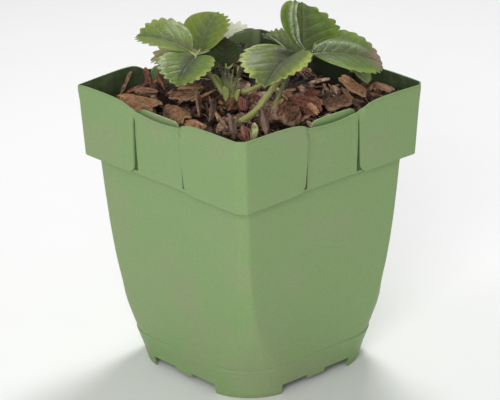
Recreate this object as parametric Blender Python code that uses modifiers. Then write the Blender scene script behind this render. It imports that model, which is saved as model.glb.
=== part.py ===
"""Potted strawberry plant: a young plant in an 11 cm square nursery pot, mulched with bark chips.

Lengths are in millimetres and angles in degrees; MM turns them into Blender's metres when a mesh is
made. +Z is up and the origin is the middle of the pot's footprint, on the surface it stands on. The
pot's sides face -Y, +X, +Y and -X.
"""

import math
import random

import bmesh
import bpy
from mathutils import Matrix, Vector

MM = 0.001
OBJECT_NAME = "potted_strawberry"
GAP = 0.3

# Pot: one injection-moulded piece.
POT_HEIGHT = 131.0
WALL = 0.9
RIM_HALF = 55.0
RIM_CORNER = 4.5
COLLAR_BOTTOM = 98.3
COLLAR_BOTTOM_HALF = 53.3
LEDGE_THICKNESS = 0.9
RECESS_DEPTH = 1.2
RECESS_HALF_WIDTH = 15.0
RECESS_STEP = 0.4
RIM_SHOULDER_WIDTH = 4.4
RIM_SHOULDER_DROP = 3.7
RIM_SCALLOP_DROP = 1.3
# Outer wall under the collar: height, half side and corner radius, from the collar to the foot.
BODY_SECTIONS = (
    (98.3, 48.8, 4.4),
    (78.0, 47.5, 4.6),
    (62.0, 46.5, 5.4),
    (46.0, 45.4, 7.2),
    (30.0, 44.4, 12.0),
    (20.0, 43.8, 18.0),
    (15.2, 43.5, 22.0),
    (14.8, 44.0, 22.4),
    (8.0, 42.6, 23.8),
    (0.0, 41.2, 25.0),
)
FLOOR_TOP = 6.6
FLOOR_UNDERSIDE = 5.6
DRAIN_RING_INSET = 3.5
DRAIN_RING_BOTTOM = 2.0
FOOT_OPENING_TOP = 4.9
FOOT_OPENING_FROM = 5.0
FOOT_OPENING_TO = 20.5
FOOT_TAB_BOTTOM = 3.3
DRAIN_HOLE_RADIUS = 4.0
DRAIN_HOLE_SPREAD = 22.0
DRAIN_CUT_DEPTH = 4.0
FLAP_HALF_WIDTH = 13.0
FLAP_THICKNESS = 0.8
FLAP_TOP = 128.3
FLAP_TOP_HALF = 51.9
FLAP_BOTTOM_HALF = 49.9
# Stations along half a side of the rim, from its middle out to where the corner begins.
SIDE_STATIONS = (0.0, 7.5, 15.0, 15.4, 18.9, 22.4, 50.5)
ARC_STEPS = 5

# Growing medium, as far up as the chips that lie on it.
MULCH_MIDDLE = 119.0
MULCH_SLOPE = 0.045
MULCH_DISH = 2.5
MULCH_DISH_RADIUS = 53.0
CHIP_DEPTH = 4.5
SOIL_RINGS = (0.82, 0.6, 0.35)
SOIL_RECESS_HALF_WIDTH = 18.9

# A leaflet's margin: width against length is x^BASE_POWER * (1 - x)^TIP_POWER, made 1 at its widest.
BASE_POWER = 0.66
TIP_POWER = 0.5
VEIN_LEAN = 0.9
LEAF_THICKNESS = 0.4
LEAFLET_STATIONS = 9
LEAFLET_COLUMNS = 3

# Name: base point, heading and pitch of the midrib, roll about it, length, width, fold of each half,
# downward bend along the midrib, extra width of the left half, curl across a half per millimetre.
LEAFLETS = {
    "leaf_a_leaflet_left": ((-23.1, -13.3, 142.35), 208, 28, -9, 26, 25.5, 20, 34, -0.12, 0.02),
    "leaf_a_leaflet_back": ((-20.8, -10.2, 142.4), 94, 72, -7, 19.5, 30, 2, 40, 0.05, 0.0),
    "leaf_a_leaflet_front": ((-19.4, -13.6, 141.1), 297, 1, -4, 23.5, 27, 22, 32, 0.06, 0.01),
    "leaf_b_leaflet_front": ((17.3, 11.2, 145.4), 290, 3, 0, 29, 34, 33, 32, 0.0, 0.03),
    "leaf_b_leaflet_up": ((18.8, 15.4, 146.6), 138, 65, 33, 22, 32, 9, 30, -0.2, 0.012),
    "leaf_b_leaflet_right": ((22.9, 17.2, 145.3), 64, 1, 18, 33, 31.5, 9, 30, 0.06, 0.01),
    "leaf_c_leaflet_up": ((-14.4, -0.6, 135.1), 138, 86, -7, 16, 15, 13, -46, 0.0, 0.01),
    "leaf_c_leaflet_left": ((-16.2, 1.0, 134.6), 185, 50, 10, 11, 9, 25, 20, 0.0, 0.0),
    "leaf_c_leaflet_right": ((-13.0, 2.2, 134.8), 95, 50, -10, 12, 10, 25, 20, 0.0, 0.0),
    "leaf_d_leaflet_side": ((8.9, 18.7, 140.1), 190, 45, 4, 18, 15, 31, 48, 0.0, 0.0),
    "leaf_d_leaflet_back": ((10.2, 21.0, 139.6), 80, 40, 0, 16, 15, 15, 40, 0.0, 0.01),
    "leaf_e_leaflet_hanging": ((28.4, 36.6, 135.0), 18, -20, -6, 9, 11, 9, 32, 0.0, 0.01),
    "leaf_e_leaflet_back": ((26.6, 38.4, 134.8), 105, 12, 0, 12, 11, 10, 40, 0.0, 0.01),
    "leaf_f_leaflet_left": ((-26.6, 2.6, 139.0), 215, 2, -16, 29, 21, 12, 30, 0.0, 0.01),
    "leaf_f_leaflet_right": ((-25.2, 5.6, 141.0), 66, 48, -6, 16, 18, 13, 56, 0.0, 0.0),
    "leaf_f_leaflet_back": ((-27.4, 6.3, 140.7), 140, 14, 0, 20, 18, 12, 36, 0.0, 0.01),
}

# Name: the points a stalk follows, its radius at the bottom and at the top.
STALKS = {
    "petiole_a": (((-14.6, -2.4, 122.4), (-16.8, -5.4, 129.0), (-19.4, -9.6, 136.0),
                   (-21.2, -12.4, 141.4)), 1.2, 0.8),
    "petiole_b": (((8.6, -14.2, 117.4), (11.7, -6.7, 122.2), (13.3, -2.0, 127.6), (14.7, 2.9, 133.1),
                   (17.0, 7.8, 138.7), (19.8, 13.0, 144.9)), 1.7, 1.2),
    "petiole_c": (((-11.6, -1.4, 122.4), (-12.6, -1.0, 128.0), (-14.2, -0.2, 133.8)), 1.1, 0.8),
    "petiole_d": (((6.6, 8.0, 117.8), (7.6, 11.0, 124.0), (8.8, 15.0, 131.6), (9.8, 19.0, 139.2)), 1.3, 0.9),
    "petiole_e": (((-8.4, 1.8, 123.4), (-5.2, 4.7, 124.5), (-1.5, 10.3, 127.4), (1.8, 17.0, 131.8),
                   (6.2, 23.3, 136.9), (11.5, 29.2, 139.6), (18.9, 34.4, 138.7), (24.6, 36.2, 136.6),
                   (27.0, 36.8, 134.0)), 1.3, 0.8),
    "petiole_f": (((-14.8, 2.2, 122.4), (-17.2, 3.2, 128.6), (-21.4, 4.0, 134.4),
                   (-26.2, 4.6, 139.4)), 1.1, 0.8),
    "petiole_young": (((-11.4, 2.6, 122.4), (-11.8, 3.8, 128.0), (-12.6, 5.2, 133.4)), 0.9, 0.5),
}
CROWN_POINTS = ((-12.0, 0.4, 115.6), (-12.1, 0.4, 118.2), (-12.2, 0.5, 121.6))
CROWN_RADII = (3.4, 4.4, 3.6)
CURVE_STEPS = 4
CURVE_BEVEL_RESOLUTION = 2

# Sheaths round the crown: base point, heading, pitch, length and width.
STIPULES = {
    "stipule_left": ((-17.4, -1.0, 121.4), 190, 68, 9.0, 4.2),
    "stipule_front": ((-10.2, -4.6, 120.6), 300, 76, 8.0, 3.6),
    "stipule_right": ((-6.4, -1.6, 120.8), 345, 70, 7.0, 3.2),
}

# Name: centre, radii, and heading and pitch of the long axis.
BUDS = {
    "bud_pale": ((14.6, -22.4, 122.2), (1.6, 1.5, 2.0), 20, 60),
    "bud_sprouting": ((33.2, -27.6, 123.2), (2.0, 1.6, 4.2), 120, 62),
}

# Name: the two ends, width, thickness, roll about the long axis, curl across the width.
CHIPS = {
    "bark_chip_tan": ((-47.0, -37.0, 121.6), (-24.5, -31.5, 121.0), 13.0, 2.6, 16, 30),
    "bark_chip_stick_wall": ((-46.5, -34.0, 125.0), (-50.2, -25.0, 130.2), 2.4, 1.4, 0, 0),
    "bark_chip_stick_left": ((-47.5, -26.0, 122.4), (-36.5, -21.5, 122.6), 3.0, 1.6, 30, 0),
    "bark_chip_red_spike": ((-47.0, -17.0, 121.0), (-49.6, -18.0, 130.0), 4.2, 1.6, 60, 0),
    "bark_chip_red_lean": ((-40.5, -14.5, 121.0), (-46.5, -13.0, 127.5), 3.2, 1.5, 40, 0),
    "bark_chip_brown_flat": ((-37.0, -8.0, 121.6), (-26.0, -4.5, 122.8), 12.0, 2.2, -18, 20),
    "bark_chip_slab_long": ((-33.5, -19.5, 121.0), (-20.0, -11.0, 123.0), 6.0, 2.2, 28, 10),
    "bark_chip_curl_left": ((-22.5, -27.0, 121.0), (-3.5, -34.0, 121.4), 9.0, 1.8, 24, 60),
    "bark_chip_curl_front": ((-1.5, -36.5, 121.4), (13.0, -37.5, 122.2), 8.0, 1.8, 22, 50),
    "bark_chip_grey_leaf": ((-4.5, -25.5, 120.4), (-13.0, -18.0, 127.0), 9.5, 1.4, 80, 12),
    "bark_chip_dark_lean": ((4.0, -26.5, 120.4), (-7.5, -13.5, 124.6), 4.0, 1.8, 50, 0),
    "bark_chip_dark_front": ((33.0, -38.5, 123.2), (21.5, -30.0, 128.0), 8.5, 2.2, 70, 12),
    "bark_chip_red_front": ((40.5, -38.5, 124.4), (34.0, -34.5, 128.4), 5.5, 2.0, 60, 0),
    "bark_chip_red_square": ((2.6, -6.0, 119.8), (-3.6, -0.6, 122.6), 5.6, 1.8, 40, 0),
    "bark_chip_fibre_front": ((41.0, -27.5, 124.0), (26.5, -16.5, 129.2), 5.4, 2.4, 76, 10),
    "bark_chip_chunk": ((32.5, -10.5, 124.0), (24.0, 4.0, 124.6), 13.0, 5.0, 24, 24),
    "bark_chip_purple_long": ((16.0, 10.6, 124.4), (38.5, 8.0, 126.2), 8.0, 2.6, 52, 20),
    "bark_chip_red_middle": ((13.0, 20.5, 122.6), (22.5, 19.5, 124.8), 9.0, 2.2, 30, 10),
    "bark_chip_orange_long": ((15.5, 39.5, 128.4), (41.5, 32.5, 126.2), 6.0, 2.2, 14, 0),
    "bark_chip_wide_brown": ((43.5, 14.0, 126.4), (28.5, 24.5, 125.6), 14.0, 2.4, -14, 16),
    "bark_chip_pale_stick": ((-1.0, 16.5, 121.2), (6.0, 20.5, 122.2), 2.4, 1.4, 0, 0),
    "bark_chip_red_stick": ((-8.0, 9.5, 121.0), (1.0, 3.6, 121.6), 3.2, 1.8, 20, 0),
    "bark_chip_back_stick": ((33.0, 44.5, 127.6), (46.0, 43.5, 127.4), 3.6, 1.8, 20, 0),
}
CHIP_LENGTH_STEPS = 6
CHIP_WIDTH_STEPS = 3
CHIP_ROUGHNESS = 0.10

# Colour, roughness.
MATERIALS = {
    "pot_green": ((0.25, 0.37, 0.18), 0.55),
    "potting_soil": ((0.020, 0.012, 0.008), 0.95),
    "leaf_green": ((0.09, 0.20, 0.035), 0.42),
    "leaf_dark": ((0.045, 0.10, 0.025), 0.5),
    "leaf_pale": ((0.32, 0.38, 0.24), 0.6),
    "stalk_green": ((0.32, 0.42, 0.08), 0.45),
    "crown_brown": ((0.20, 0.10, 0.05), 0.7),
    "stipule_green": ((0.38, 0.42, 0.18), 0.6),
    "bud_cream": ((0.62, 0.60, 0.34), 0.55),
    "bark_tan": ((0.36, 0.19, 0.09), 0.85),
    "bark_brown": ((0.17, 0.085, 0.05), 0.85),
    "bark_red": ((0.24, 0.09, 0.06), 0.85),
    "bark_dark": ((0.08, 0.045, 0.03), 0.9),
}


def clear_scene():
    for obj in list(bpy.data.objects):
        bpy.data.objects.remove(obj, do_unlink=True)


def new_collection(name):
    collection = bpy.data.collections.new(name)
    bpy.context.scene.collection.children.link(collection)
    return collection


def make_materials():
    made = {}
    for name, (colour, roughness) in MATERIALS.items():
        material = bpy.data.materials.new(name)
        material.use_nodes = True
        shader = material.node_tree.nodes["Principled BSDF"]
        shader.inputs["Base Color"].default_value = (*colour, 1.0)
        shader.inputs["Roughness"].default_value = roughness
        shader.inputs["Metallic"].default_value = 0.0
        made[name] = material
    return made


def add_object(name, data, collection, material=None):
    obj = bpy.data.objects.new(name, data)
    collection.objects.link(obj)
    if material:
        data.materials.append(material)
    return obj


def mesh_object(name, bm, collection, material=None, smooth=True):
    """The bmesh, built in millimetres, as an object in metres."""
    bmesh.ops.scale(bm, vec=(MM, MM, MM), verts=bm.verts)
    mesh = bpy.data.meshes.new(name)
    bm.to_mesh(mesh)
    bm.free()
    if smooth:
        mesh.shade_smooth()
        mesh.set_sharp_from_angle(angle=math.radians(35))
    return add_object(name, mesh, collection, material)


def add_modifier(obj, kind, **values):
    modifier = obj.modifiers.new(kind.title(), kind)
    for key, value in values.items():
        setattr(modifier, key, value)
    return modifier


# ---------------------------------------------------------------- pot


def square_ring(half, corner, stations, recess=0.0, recess_from=RECESS_HALF_WIDTH):
    """A rounded square, anticlockwise from above, as (x, y, distance from the middle of its side).

    The stations are spread in proportion to the straight part of the side, and those out to
    recess_from are set in by recess.
    """
    straight = half - corner
    along = [-t for t in reversed(stations[1:])] + list(stations)
    points = []
    for side in range(4):
        turn = Matrix.Rotation(side * math.pi / 2, 3, "Z")
        for t in along:
            inset = recess if abs(t) <= recess_from + RECESS_STEP / 4 else 0.0
            place = Vector((t * straight / stations[-1], inset - half, 0.0))
            points.append((turn @ place, abs(t)))
        for step in range(1, ARC_STEPS):
            angle = math.radians(90.0 * step / ARC_STEPS)
            place = Vector((straight + corner * math.sin(angle), -straight - corner * math.cos(angle), 0.0))
            points.append((turn @ place, stations[-1]))
    return [(place.x, place.y, t) for place, t in points]


def rim_height(t):
    """Height of the rim's edge at distance t from the middle of a side."""
    if t <= RECESS_HALF_WIDTH + RECESS_STEP / 4:
        scallop = RIM_SCALLOP_DROP * (1.0 - (t / RECESS_HALF_WIDTH) ** 2)
        return POT_HEIGHT - RIM_SHOULDER_DROP - scallop
    return POT_HEIGHT - RIM_SHOULDER_DROP * math.exp((RECESS_HALF_WIDTH - t) / RIM_SHOULDER_WIDTH)


def body_section(height):
    """Half side and corner radius of the outer wall under the collar."""
    for (z1, s1, r1), (z2, s2, r2) in zip(BODY_SECTIONS, BODY_SECTIONS[1:]):
        if z2 <= height <= z1:
            part = (z1 - height) / (z1 - z2)
            return s1 + (s2 - s1) * part, r1 + (r2 - r1) * part
    raise ValueError(height)


def collar_half(height):
    part = (height - COLLAR_BOTTOM) / (POT_HEIGHT - COLLAR_BOTTOM)
    return COLLAR_BOTTOM_HALF + (RIM_HALF - COLLAR_BOTTOM_HALF) * part


def loft(rings, close_ends=True):
    """Joins rings of equally many points, and closes both ends with a fan to their middle."""
    bm = bmesh.new()
    rows = [[bm.verts.new(point) for point in ring] for ring in rings]
    count = len(rows[0])
    for lower, upper in zip(rows, rows[1:]):
        for i in range(count):
            j = (i + 1) % count
            bm.faces.new((lower[i], lower[j], upper[j], upper[i]))
    if close_ends:
        for row, order in ((rows[0], -1), (rows[-1], 1)):
            middle = bm.verts.new(sum((v.co for v in row), Vector()) / count)
            for i in range(count):
                ends = (row[i], row[(i + 1) % count])
                bm.faces.new((*ends[::order], middle))
    return bm


def ring_at(half, corner, height, recess=0.0):
    return [(x, y, height) for x, y, _ in square_ring(half, corner, SIDE_STATIONS, recess)]


def rim_ring(inward):
    ring = square_ring(RIM_HALF - inward, RIM_CORNER - inward, SIDE_STATIONS, RECESS_DEPTH)
    return [(x, y, rim_height(t)) for x, y, t in ring]


def pot_rings():
    """From the middle of the underside, up the outside, over the rim and down to the floor."""
    foot_half, foot_corner = body_section(0.0)
    ring_half, ring_corner = foot_half - DRAIN_RING_INSET, foot_corner - DRAIN_RING_INSET
    rings = [
        ring_at(ring_half - WALL, ring_corner - WALL, FLOOR_UNDERSIDE),
        ring_at(ring_half - WALL, ring_corner - WALL, DRAIN_RING_BOTTOM),
        ring_at(ring_half, ring_corner, DRAIN_RING_BOTTOM),
        ring_at(ring_half, ring_corner, FLOOR_UNDERSIDE),
        ring_at(foot_half + 1.0 - WALL, foot_corner - WALL, FLOOR_UNDERSIDE),
        ring_at(foot_half - WALL, foot_corner - WALL, 0.0),
    ]
    for height, half, corner in reversed(BODY_SECTIONS):
        rings.append(ring_at(half, corner, height))
    rings.append(ring_at(COLLAR_BOTTOM_HALF, RIM_CORNER, COLLAR_BOTTOM, RECESS_DEPTH))
    rings.append(rim_ring(0.0))
    rings.append(rim_ring(WALL))
    shelf = COLLAR_BOTTOM + LEDGE_THICKNESS
    rings.append(ring_at(collar_half(shelf) - WALL, RIM_CORNER - WALL, shelf, RECESS_DEPTH))
    rings.append(ring_at(BODY_SECTIONS[0][1] - WALL, BODY_SECTIONS[0][2] - WALL, shelf))
    for height, half, corner in BODY_SECTIONS[1:6]:
        rings.append(ring_at(half - WALL, corner - WALL, height))
    half, corner = body_section(8.0)
    rings.append(ring_at(half - WALL, corner - WALL, FLOOR_TOP))
    return rings


def label_flaps(collection):
    """A slanted tongue behind each recess, standing on the collar's ledge."""
    bottom = COLLAR_BOTTOM + LEDGE_THICKNESS / 2
    bm = bmesh.new()
    for side in range(4):
        made = bmesh.ops.create_cube(bm, size=1.0)["verts"]
        for v in made:
            top = v.co.z > 0
            outward = FLAP_TOP_HALF if top else FLAP_BOTTOM_HALF
            if v.co.y > 0:
                outward -= FLAP_THICKNESS
            v.co = Vector((2 * v.co.x * FLAP_HALF_WIDTH, -outward, FLAP_TOP if top else bottom))
        bmesh.ops.rotate(bm, matrix=Matrix.Rotation(side * math.pi / 2, 3, "Z"), verts=made)
    return hide_tool(mesh_object("flap_tool", bm, collection, smooth=False))


def foot_cutter(collection):
    """A stepped outline, pushed through the foot wall of each side: two openings and a raised tab between."""
    half, _ = body_section(0.0)
    low = -1.0
    outline = (
        (-FOOT_OPENING_TO, low),
        (FOOT_OPENING_TO, low),
        (FOOT_OPENING_TO, FOOT_OPENING_TOP),
        (FOOT_OPENING_FROM, FOOT_OPENING_TOP),
        (FOOT_OPENING_FROM, FOOT_TAB_BOTTOM),
        (-FOOT_OPENING_FROM, FOOT_TAB_BOTTOM),
        (-FOOT_OPENING_FROM, FOOT_OPENING_TOP),
        (-FOOT_OPENING_TO, FOOT_OPENING_TOP),
    )
    bm = bmesh.new()
    for side in range(4):
        face = bm.faces.new([bm.verts.new((x, -half - 2.0, z)) for x, z in outline])
        pushed = bmesh.ops.extrude_face_region(bm, geom=[face])
        deep = [v for v in pushed["geom"] if isinstance(v, bmesh.types.BMVert)]
        bmesh.ops.translate(bm, vec=(0.0, 2.0 + (DRAIN_RING_INSET + WALL) / 2, 0.0), verts=deep)
        made = list(face.verts) + deep
        bmesh.ops.rotate(bm, matrix=Matrix.Rotation(side * math.pi / 2, 3, "Z"), verts=made)
    bmesh.ops.recalc_face_normals(bm, faces=bm.faces)
    return hide_tool(mesh_object("foot_tool", bm, collection, smooth=False))


def drain_cutter(collection):
    bm = bmesh.new()
    radius, spread = DRAIN_HOLE_RADIUS, DRAIN_HOLE_SPREAD
    middle = (FLOOR_TOP + FLOOR_UNDERSIDE) / 2
    for x, y in ((0, 0), (spread, spread), (-spread, spread), (spread, -spread), (-spread, -spread)):
        bmesh.ops.create_cone(
            bm, cap_ends=True, segments=16, radius1=radius, radius2=radius,
            depth=DRAIN_CUT_DEPTH, matrix=Matrix.Translation((x, y, middle)),
        )
    return hide_tool(mesh_object("drain_tool", bm, collection, smooth=False))


def hide_tool(obj):
    obj.hide_render = True
    obj.display_type = "WIRE"
    return obj


def make_pot(parts, tools, material):
    pot = mesh_object("pot", loft(pot_rings()), parts, material)
    for tool, operation in (
        (label_flaps(tools), "UNION"),
        (foot_cutter(tools), "DIFFERENCE"),
        (drain_cutter(tools), "DIFFERENCE"),
    ):
        add_modifier(pot, "BOOLEAN", object=tool, operation=operation, solver="EXACT")


# ---------------------------------------------------------------- growing medium


def mulch_height(x, y):
    """Mean level of the bark mulch, a little dished and higher at the back right."""
    dish = MULCH_DISH * (x * x + y * y) / MULCH_DISH_RADIUS**2
    return MULCH_MIDDLE + MULCH_SLOPE * (x + y) + dish


def make_soil(parts, material):
    """Fills the pot, clear of its walls and label flaps, up to the underside of the chips."""
    def ring(half, corner, height, recess=0.0):
        points = square_ring(half, corner, SIDE_STATIONS, recess, SOIL_RECESS_HALF_WIDTH)
        return [(x, y, height) for x, y, _ in points]

    clear = WALL + GAP
    rings = []
    for height, half, corner in reversed(BODY_SECTIONS[1:6]):
        rings.append(ring(half - clear, corner - clear, height))
    low_half, low_corner = body_section(8.0)
    rings.insert(0, ring(low_half - clear, low_corner - clear, FLOOR_TOP + GAP))
    shelf = COLLAR_BOTTOM + LEDGE_THICKNESS + GAP
    rings.append(ring(BODY_SECTIONS[0][1] - clear, BODY_SECTIONS[0][2] - clear, shelf))
    collar = collar_half(shelf) - clear
    behind_flap = collar - (FLAP_BOTTOM_HALF - FLAP_THICKNESS - GAP)
    rings.append(ring(collar, RIM_CORNER - clear, shelf, behind_flap))
    top_half = collar_half(MULCH_MIDDLE - 2.0 * CHIP_DEPTH) - clear
    top = square_ring(top_half, RIM_CORNER - clear, SIDE_STATIONS, behind_flap, SOIL_RECESS_HALF_WIDTH)
    for scale in (1.0, *SOIL_RINGS):
        edge = [(x * scale, y * scale) for x, y, _ in top]
        rings.append([(x, y, mulch_height(x, y) - CHIP_DEPTH) for x, y in edge])
    mesh_object("soil", loft(rings), parts, material)


# ---------------------------------------------------------------- leaves


def margin(x):
    """Half width of a leaflet at x of its length, as a share of its greatest half width."""
    widest = BASE_POWER / (BASE_POWER + TIP_POWER)
    greatest = widest**BASE_POWER * (1.0 - widest) ** TIP_POWER
    return x**BASE_POWER * max(1.0 - x, 0.0) ** TIP_POWER / greatest


def direction(heading, pitch):
    h, p = math.radians(heading), math.radians(pitch)
    return Vector((math.cos(h) * math.cos(p), math.sin(h) * math.cos(p), math.sin(p)))


def midrib(base, heading, pitch, bend, length, steps=40):
    """Points and pitches along a leaflet's midrib."""
    points, pitches = [Vector(base)], [float(pitch)]
    for i in range(1, steps + 1):
        middle = pitch - bend * (i - 0.5) / steps
        points.append(points[-1] + direction(heading, middle) * (length / steps))
        pitches.append(pitch - bend * i / steps)
    return points, pitches


def leaflet_point(rib, heading, roll, fold, curl, along, across):
    """A point of the blade: along is 0 to 1 on the midrib, across the distance to its left."""
    points, pitches = rib
    place = along * (len(points) - 1)
    i = min(int(place), len(points) - 2)
    part = place - i
    base = points[i].lerp(points[i + 1], part)
    pitch = pitches[i] + (pitches[i + 1] - pitches[i]) * part
    left = direction(heading + 90.0, 0.0)
    up = direction(heading, pitch + 90.0)
    turn = math.radians(roll)
    side = left * math.cos(turn) + up * math.sin(turn)
    normal = up * math.cos(turn) - left * math.sin(turn)
    start = math.radians(fold)
    reach = abs(across)
    if curl:
        end = start - curl * reach
        outward = (math.sin(start) - math.sin(end)) / curl
        raised = (math.cos(end) - math.cos(start)) / curl
    else:
        outward, raised = reach * math.cos(start), reach * math.sin(start)
    return base + side * math.copysign(outward, across) + normal * raised


def make_leaflet(name, values, parts, material):
    """A grid whose rows follow the side veins, from the midrib forward to the margin."""
    base, heading, pitch, roll, length, width, fold, bend, skew, curl = values
    rib = midrib(base, heading, pitch, bend, length)
    bm = bmesh.new()
    bmesh.ops.create_grid(bm, x_segments=LEAFLET_STATIONS, y_segments=2 * LEAFLET_COLUMNS, size=0.5)
    for v in bm.verts:
        station = v.co.x + 0.5
        across = 2.0 * v.co.y
        edge = station * (2.0 - station)
        along = edge * (VEIN_LEAN + (1.0 - VEIN_LEAN) * abs(across))
        half = 0.5 * width * (1.0 + math.copysign(skew, across)) * margin(edge)
        v.co = leaflet_point(rib, heading, roll, fold, curl, along, across * half)
    bmesh.ops.remove_doubles(bm, verts=bm.verts, dist=0.02)
    leaflet = mesh_object(name, bm, parts, material)
    add_modifier(leaflet, "SOLIDIFY", thickness=LEAF_THICKNESS * MM, offset=0.0)


def make_stipule(name, values, parts, material):
    base, heading, pitch, length, width = values
    shape = (base, heading, pitch, 0.0, length, width, 25.0, 10.0, 0.0, 0.0)
    make_leaflet(name, shape, parts, material)


# ---------------------------------------------------------------- stalks and crown


def smooth_path(points, steps=CURVE_STEPS):
    """Points on a Catmull-Rom curve through the given ones."""
    points = [Vector(p) for p in points]
    ends = [2 * points[0] - points[1], *points, 2 * points[-1] - points[-2]]
    path = []
    for a, b, c, d in zip(ends, ends[1:], ends[2:], ends[3:]):
        for step in range(steps):
            t = step / steps
            bend = (2 * a - 5 * b + 4 * c - d) * t**2 + (3 * b - a - 3 * c + d) * t**3
            path.append(0.5 * (2 * b + (c - a) * t + bend))
    return [*path, points[-1]]


def make_tube(name, path, radii, parts, material):
    """A round stalk as a POLY curve with filled caps, its radius running evenly through radii."""
    curve = bpy.data.curves.new(name, "CURVE")
    curve.dimensions = "3D"
    curve.bevel_depth = MM
    curve.bevel_resolution = CURVE_BEVEL_RESOLUTION
    curve.use_fill_caps = True
    spline = curve.splines.new("POLY")
    spline.points.add(len(path) - 1)
    for i, point in enumerate(path):
        place = i / (len(path) - 1) * (len(radii) - 1)
        j = min(int(place), len(radii) - 2)
        spline.points[i].co = (*(point * MM), 1.0)
        spline.points[i].radius = radii[j] + (radii[j + 1] - radii[j]) * (place - j)
    spline.use_smooth = True
    add_object(name, curve, parts, material)


def make_bud(name, values, parts, material):
    centre, radii, heading, pitch = values
    bm = bmesh.new()
    bmesh.ops.create_uvsphere(bm, u_segments=10, v_segments=7, radius=1.0)
    bmesh.ops.scale(bm, vec=radii, verts=bm.verts)
    turn = direction(heading, pitch).to_track_quat("Z", "Y").to_matrix()
    bmesh.ops.rotate(bm, matrix=turn, verts=bm.verts)
    bmesh.ops.translate(bm, vec=centre, verts=bm.verts)
    mesh_object(name, bm, parts, material)


# ---------------------------------------------------------------- bark


def make_chip(name, values, parts, material):
    """A torn flake of bark: a ragged, slightly curled sheet between two ends, thickened."""
    start, end, width, thickness, roll, curl = values
    start, end = Vector(start), Vector(end)
    length = (end - start).length
    chance = random.Random(name)
    shape = [0.75 + chance.uniform(-0.2, 0.2) for _ in range(CHIP_LENGTH_STEPS + 1)]
    bow = math.radians(max(curl, 0.01))
    frame = (end - start).to_track_quat("X", "Z").to_matrix() @ Matrix.Rotation(math.radians(roll), 3, "X")
    bm = bmesh.new()
    bmesh.ops.create_grid(bm, x_segments=CHIP_LENGTH_STEPS, y_segments=CHIP_WIDTH_STEPS, size=0.5)
    for v in bm.verts:
        along, across = v.co.x, 2.0 * v.co.y
        row = round((along + 0.5) * CHIP_LENGTH_STEPS)
        taper = math.sqrt(1.0 - 0.75 * (2.0 * along) ** 2)
        half = 0.5 * width * taper * (shape[row] + 0.25)
        angle = across * bow
        radius = half / bow
        ragged = Vector([chance.uniform(-1.0, 1.0) for _ in range(3)]) * (CHIP_ROUGHNESS * thickness * 2.0)
        flat = Vector((along * length, radius * math.sin(angle), radius * (math.cos(angle) - 1.0)))
        v.co = start.lerp(end, 0.5) + frame @ (flat + ragged)
    chip = mesh_object(name, bm, parts, material, smooth=False)
    add_modifier(chip, "SOLIDIFY", thickness=thickness * MM, offset=0.0, use_even_offset=True)


# ---------------------------------------------------------------- assembly


def chip_material(name):
    for word in ("tan", "orange", "pale"):
        if word in name:
            return "bark_tan"
    for word in ("red", "purple"):
        if word in name:
            return "bark_red"
    return "bark_dark" if "dark" in name or "fibre" in name else "bark_brown"


def leaflet_material(name):
    if name.startswith("leaf_c") or name.startswith("leaf_d"):
        return "leaf_dark"
    return "leaf_pale" if name == "leaf_f_leaflet_right" else "leaf_green"


def main():
    clear_scene()
    parts = new_collection(OBJECT_NAME)
    tools = new_collection("cutters")
    materials = make_materials()
    make_pot(parts, tools, materials["pot_green"])
    make_soil(parts, materials["potting_soil"])
    crown_path = [Vector(p) for p in CROWN_POINTS]
    make_tube("crown", crown_path, CROWN_RADII, parts, materials["crown_brown"])
    for name, (points, low, high) in STALKS.items():
        make_tube(name, smooth_path(points), (low, high), parts, materials["stalk_green"])
    for name, values in LEAFLETS.items():
        make_leaflet(name, values, parts, materials[leaflet_material(name)])
    for name, values in STIPULES.items():
        make_stipule(name, values, parts, materials["stipule_green"])
    for name, values in BUDS.items():
        make_bud(name, values, parts, materials["bud_cream"])
    for name, values in CHIPS.items():
        make_chip(name, values, parts, materials[chip_material(name)])


main()
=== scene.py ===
"""Studio scene of a young strawberry plant in a square nursery pot mulched with bark chips.

Lengths are in millimetres and angles in degrees, as in the part's source, and MM turns them into
metres when a mesh is made. The leaf, stalk, sheath, bud and bark tables repeat the part's own design
values, so each detailed piece lies on the CAD node that it stands for.
"""

import math
import random

import bmesh
import bpy
import numpy as np
from mathutils import Matrix, Vector


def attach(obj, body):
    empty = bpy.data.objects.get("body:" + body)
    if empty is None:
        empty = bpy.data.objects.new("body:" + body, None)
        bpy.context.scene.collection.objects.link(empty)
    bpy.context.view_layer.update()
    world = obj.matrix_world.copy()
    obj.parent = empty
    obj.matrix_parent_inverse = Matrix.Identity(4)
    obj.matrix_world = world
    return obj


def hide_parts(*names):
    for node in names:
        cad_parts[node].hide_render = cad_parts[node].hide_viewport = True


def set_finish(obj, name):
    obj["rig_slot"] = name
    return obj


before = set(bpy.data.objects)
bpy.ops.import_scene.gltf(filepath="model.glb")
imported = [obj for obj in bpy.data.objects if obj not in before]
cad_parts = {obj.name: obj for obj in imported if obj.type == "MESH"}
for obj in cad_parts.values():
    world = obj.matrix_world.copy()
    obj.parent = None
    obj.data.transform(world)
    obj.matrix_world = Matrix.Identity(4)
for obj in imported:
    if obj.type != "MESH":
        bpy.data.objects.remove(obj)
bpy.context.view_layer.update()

MM = 0.001

# ---------------------------------------------------------------- design values shared with the part

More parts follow.
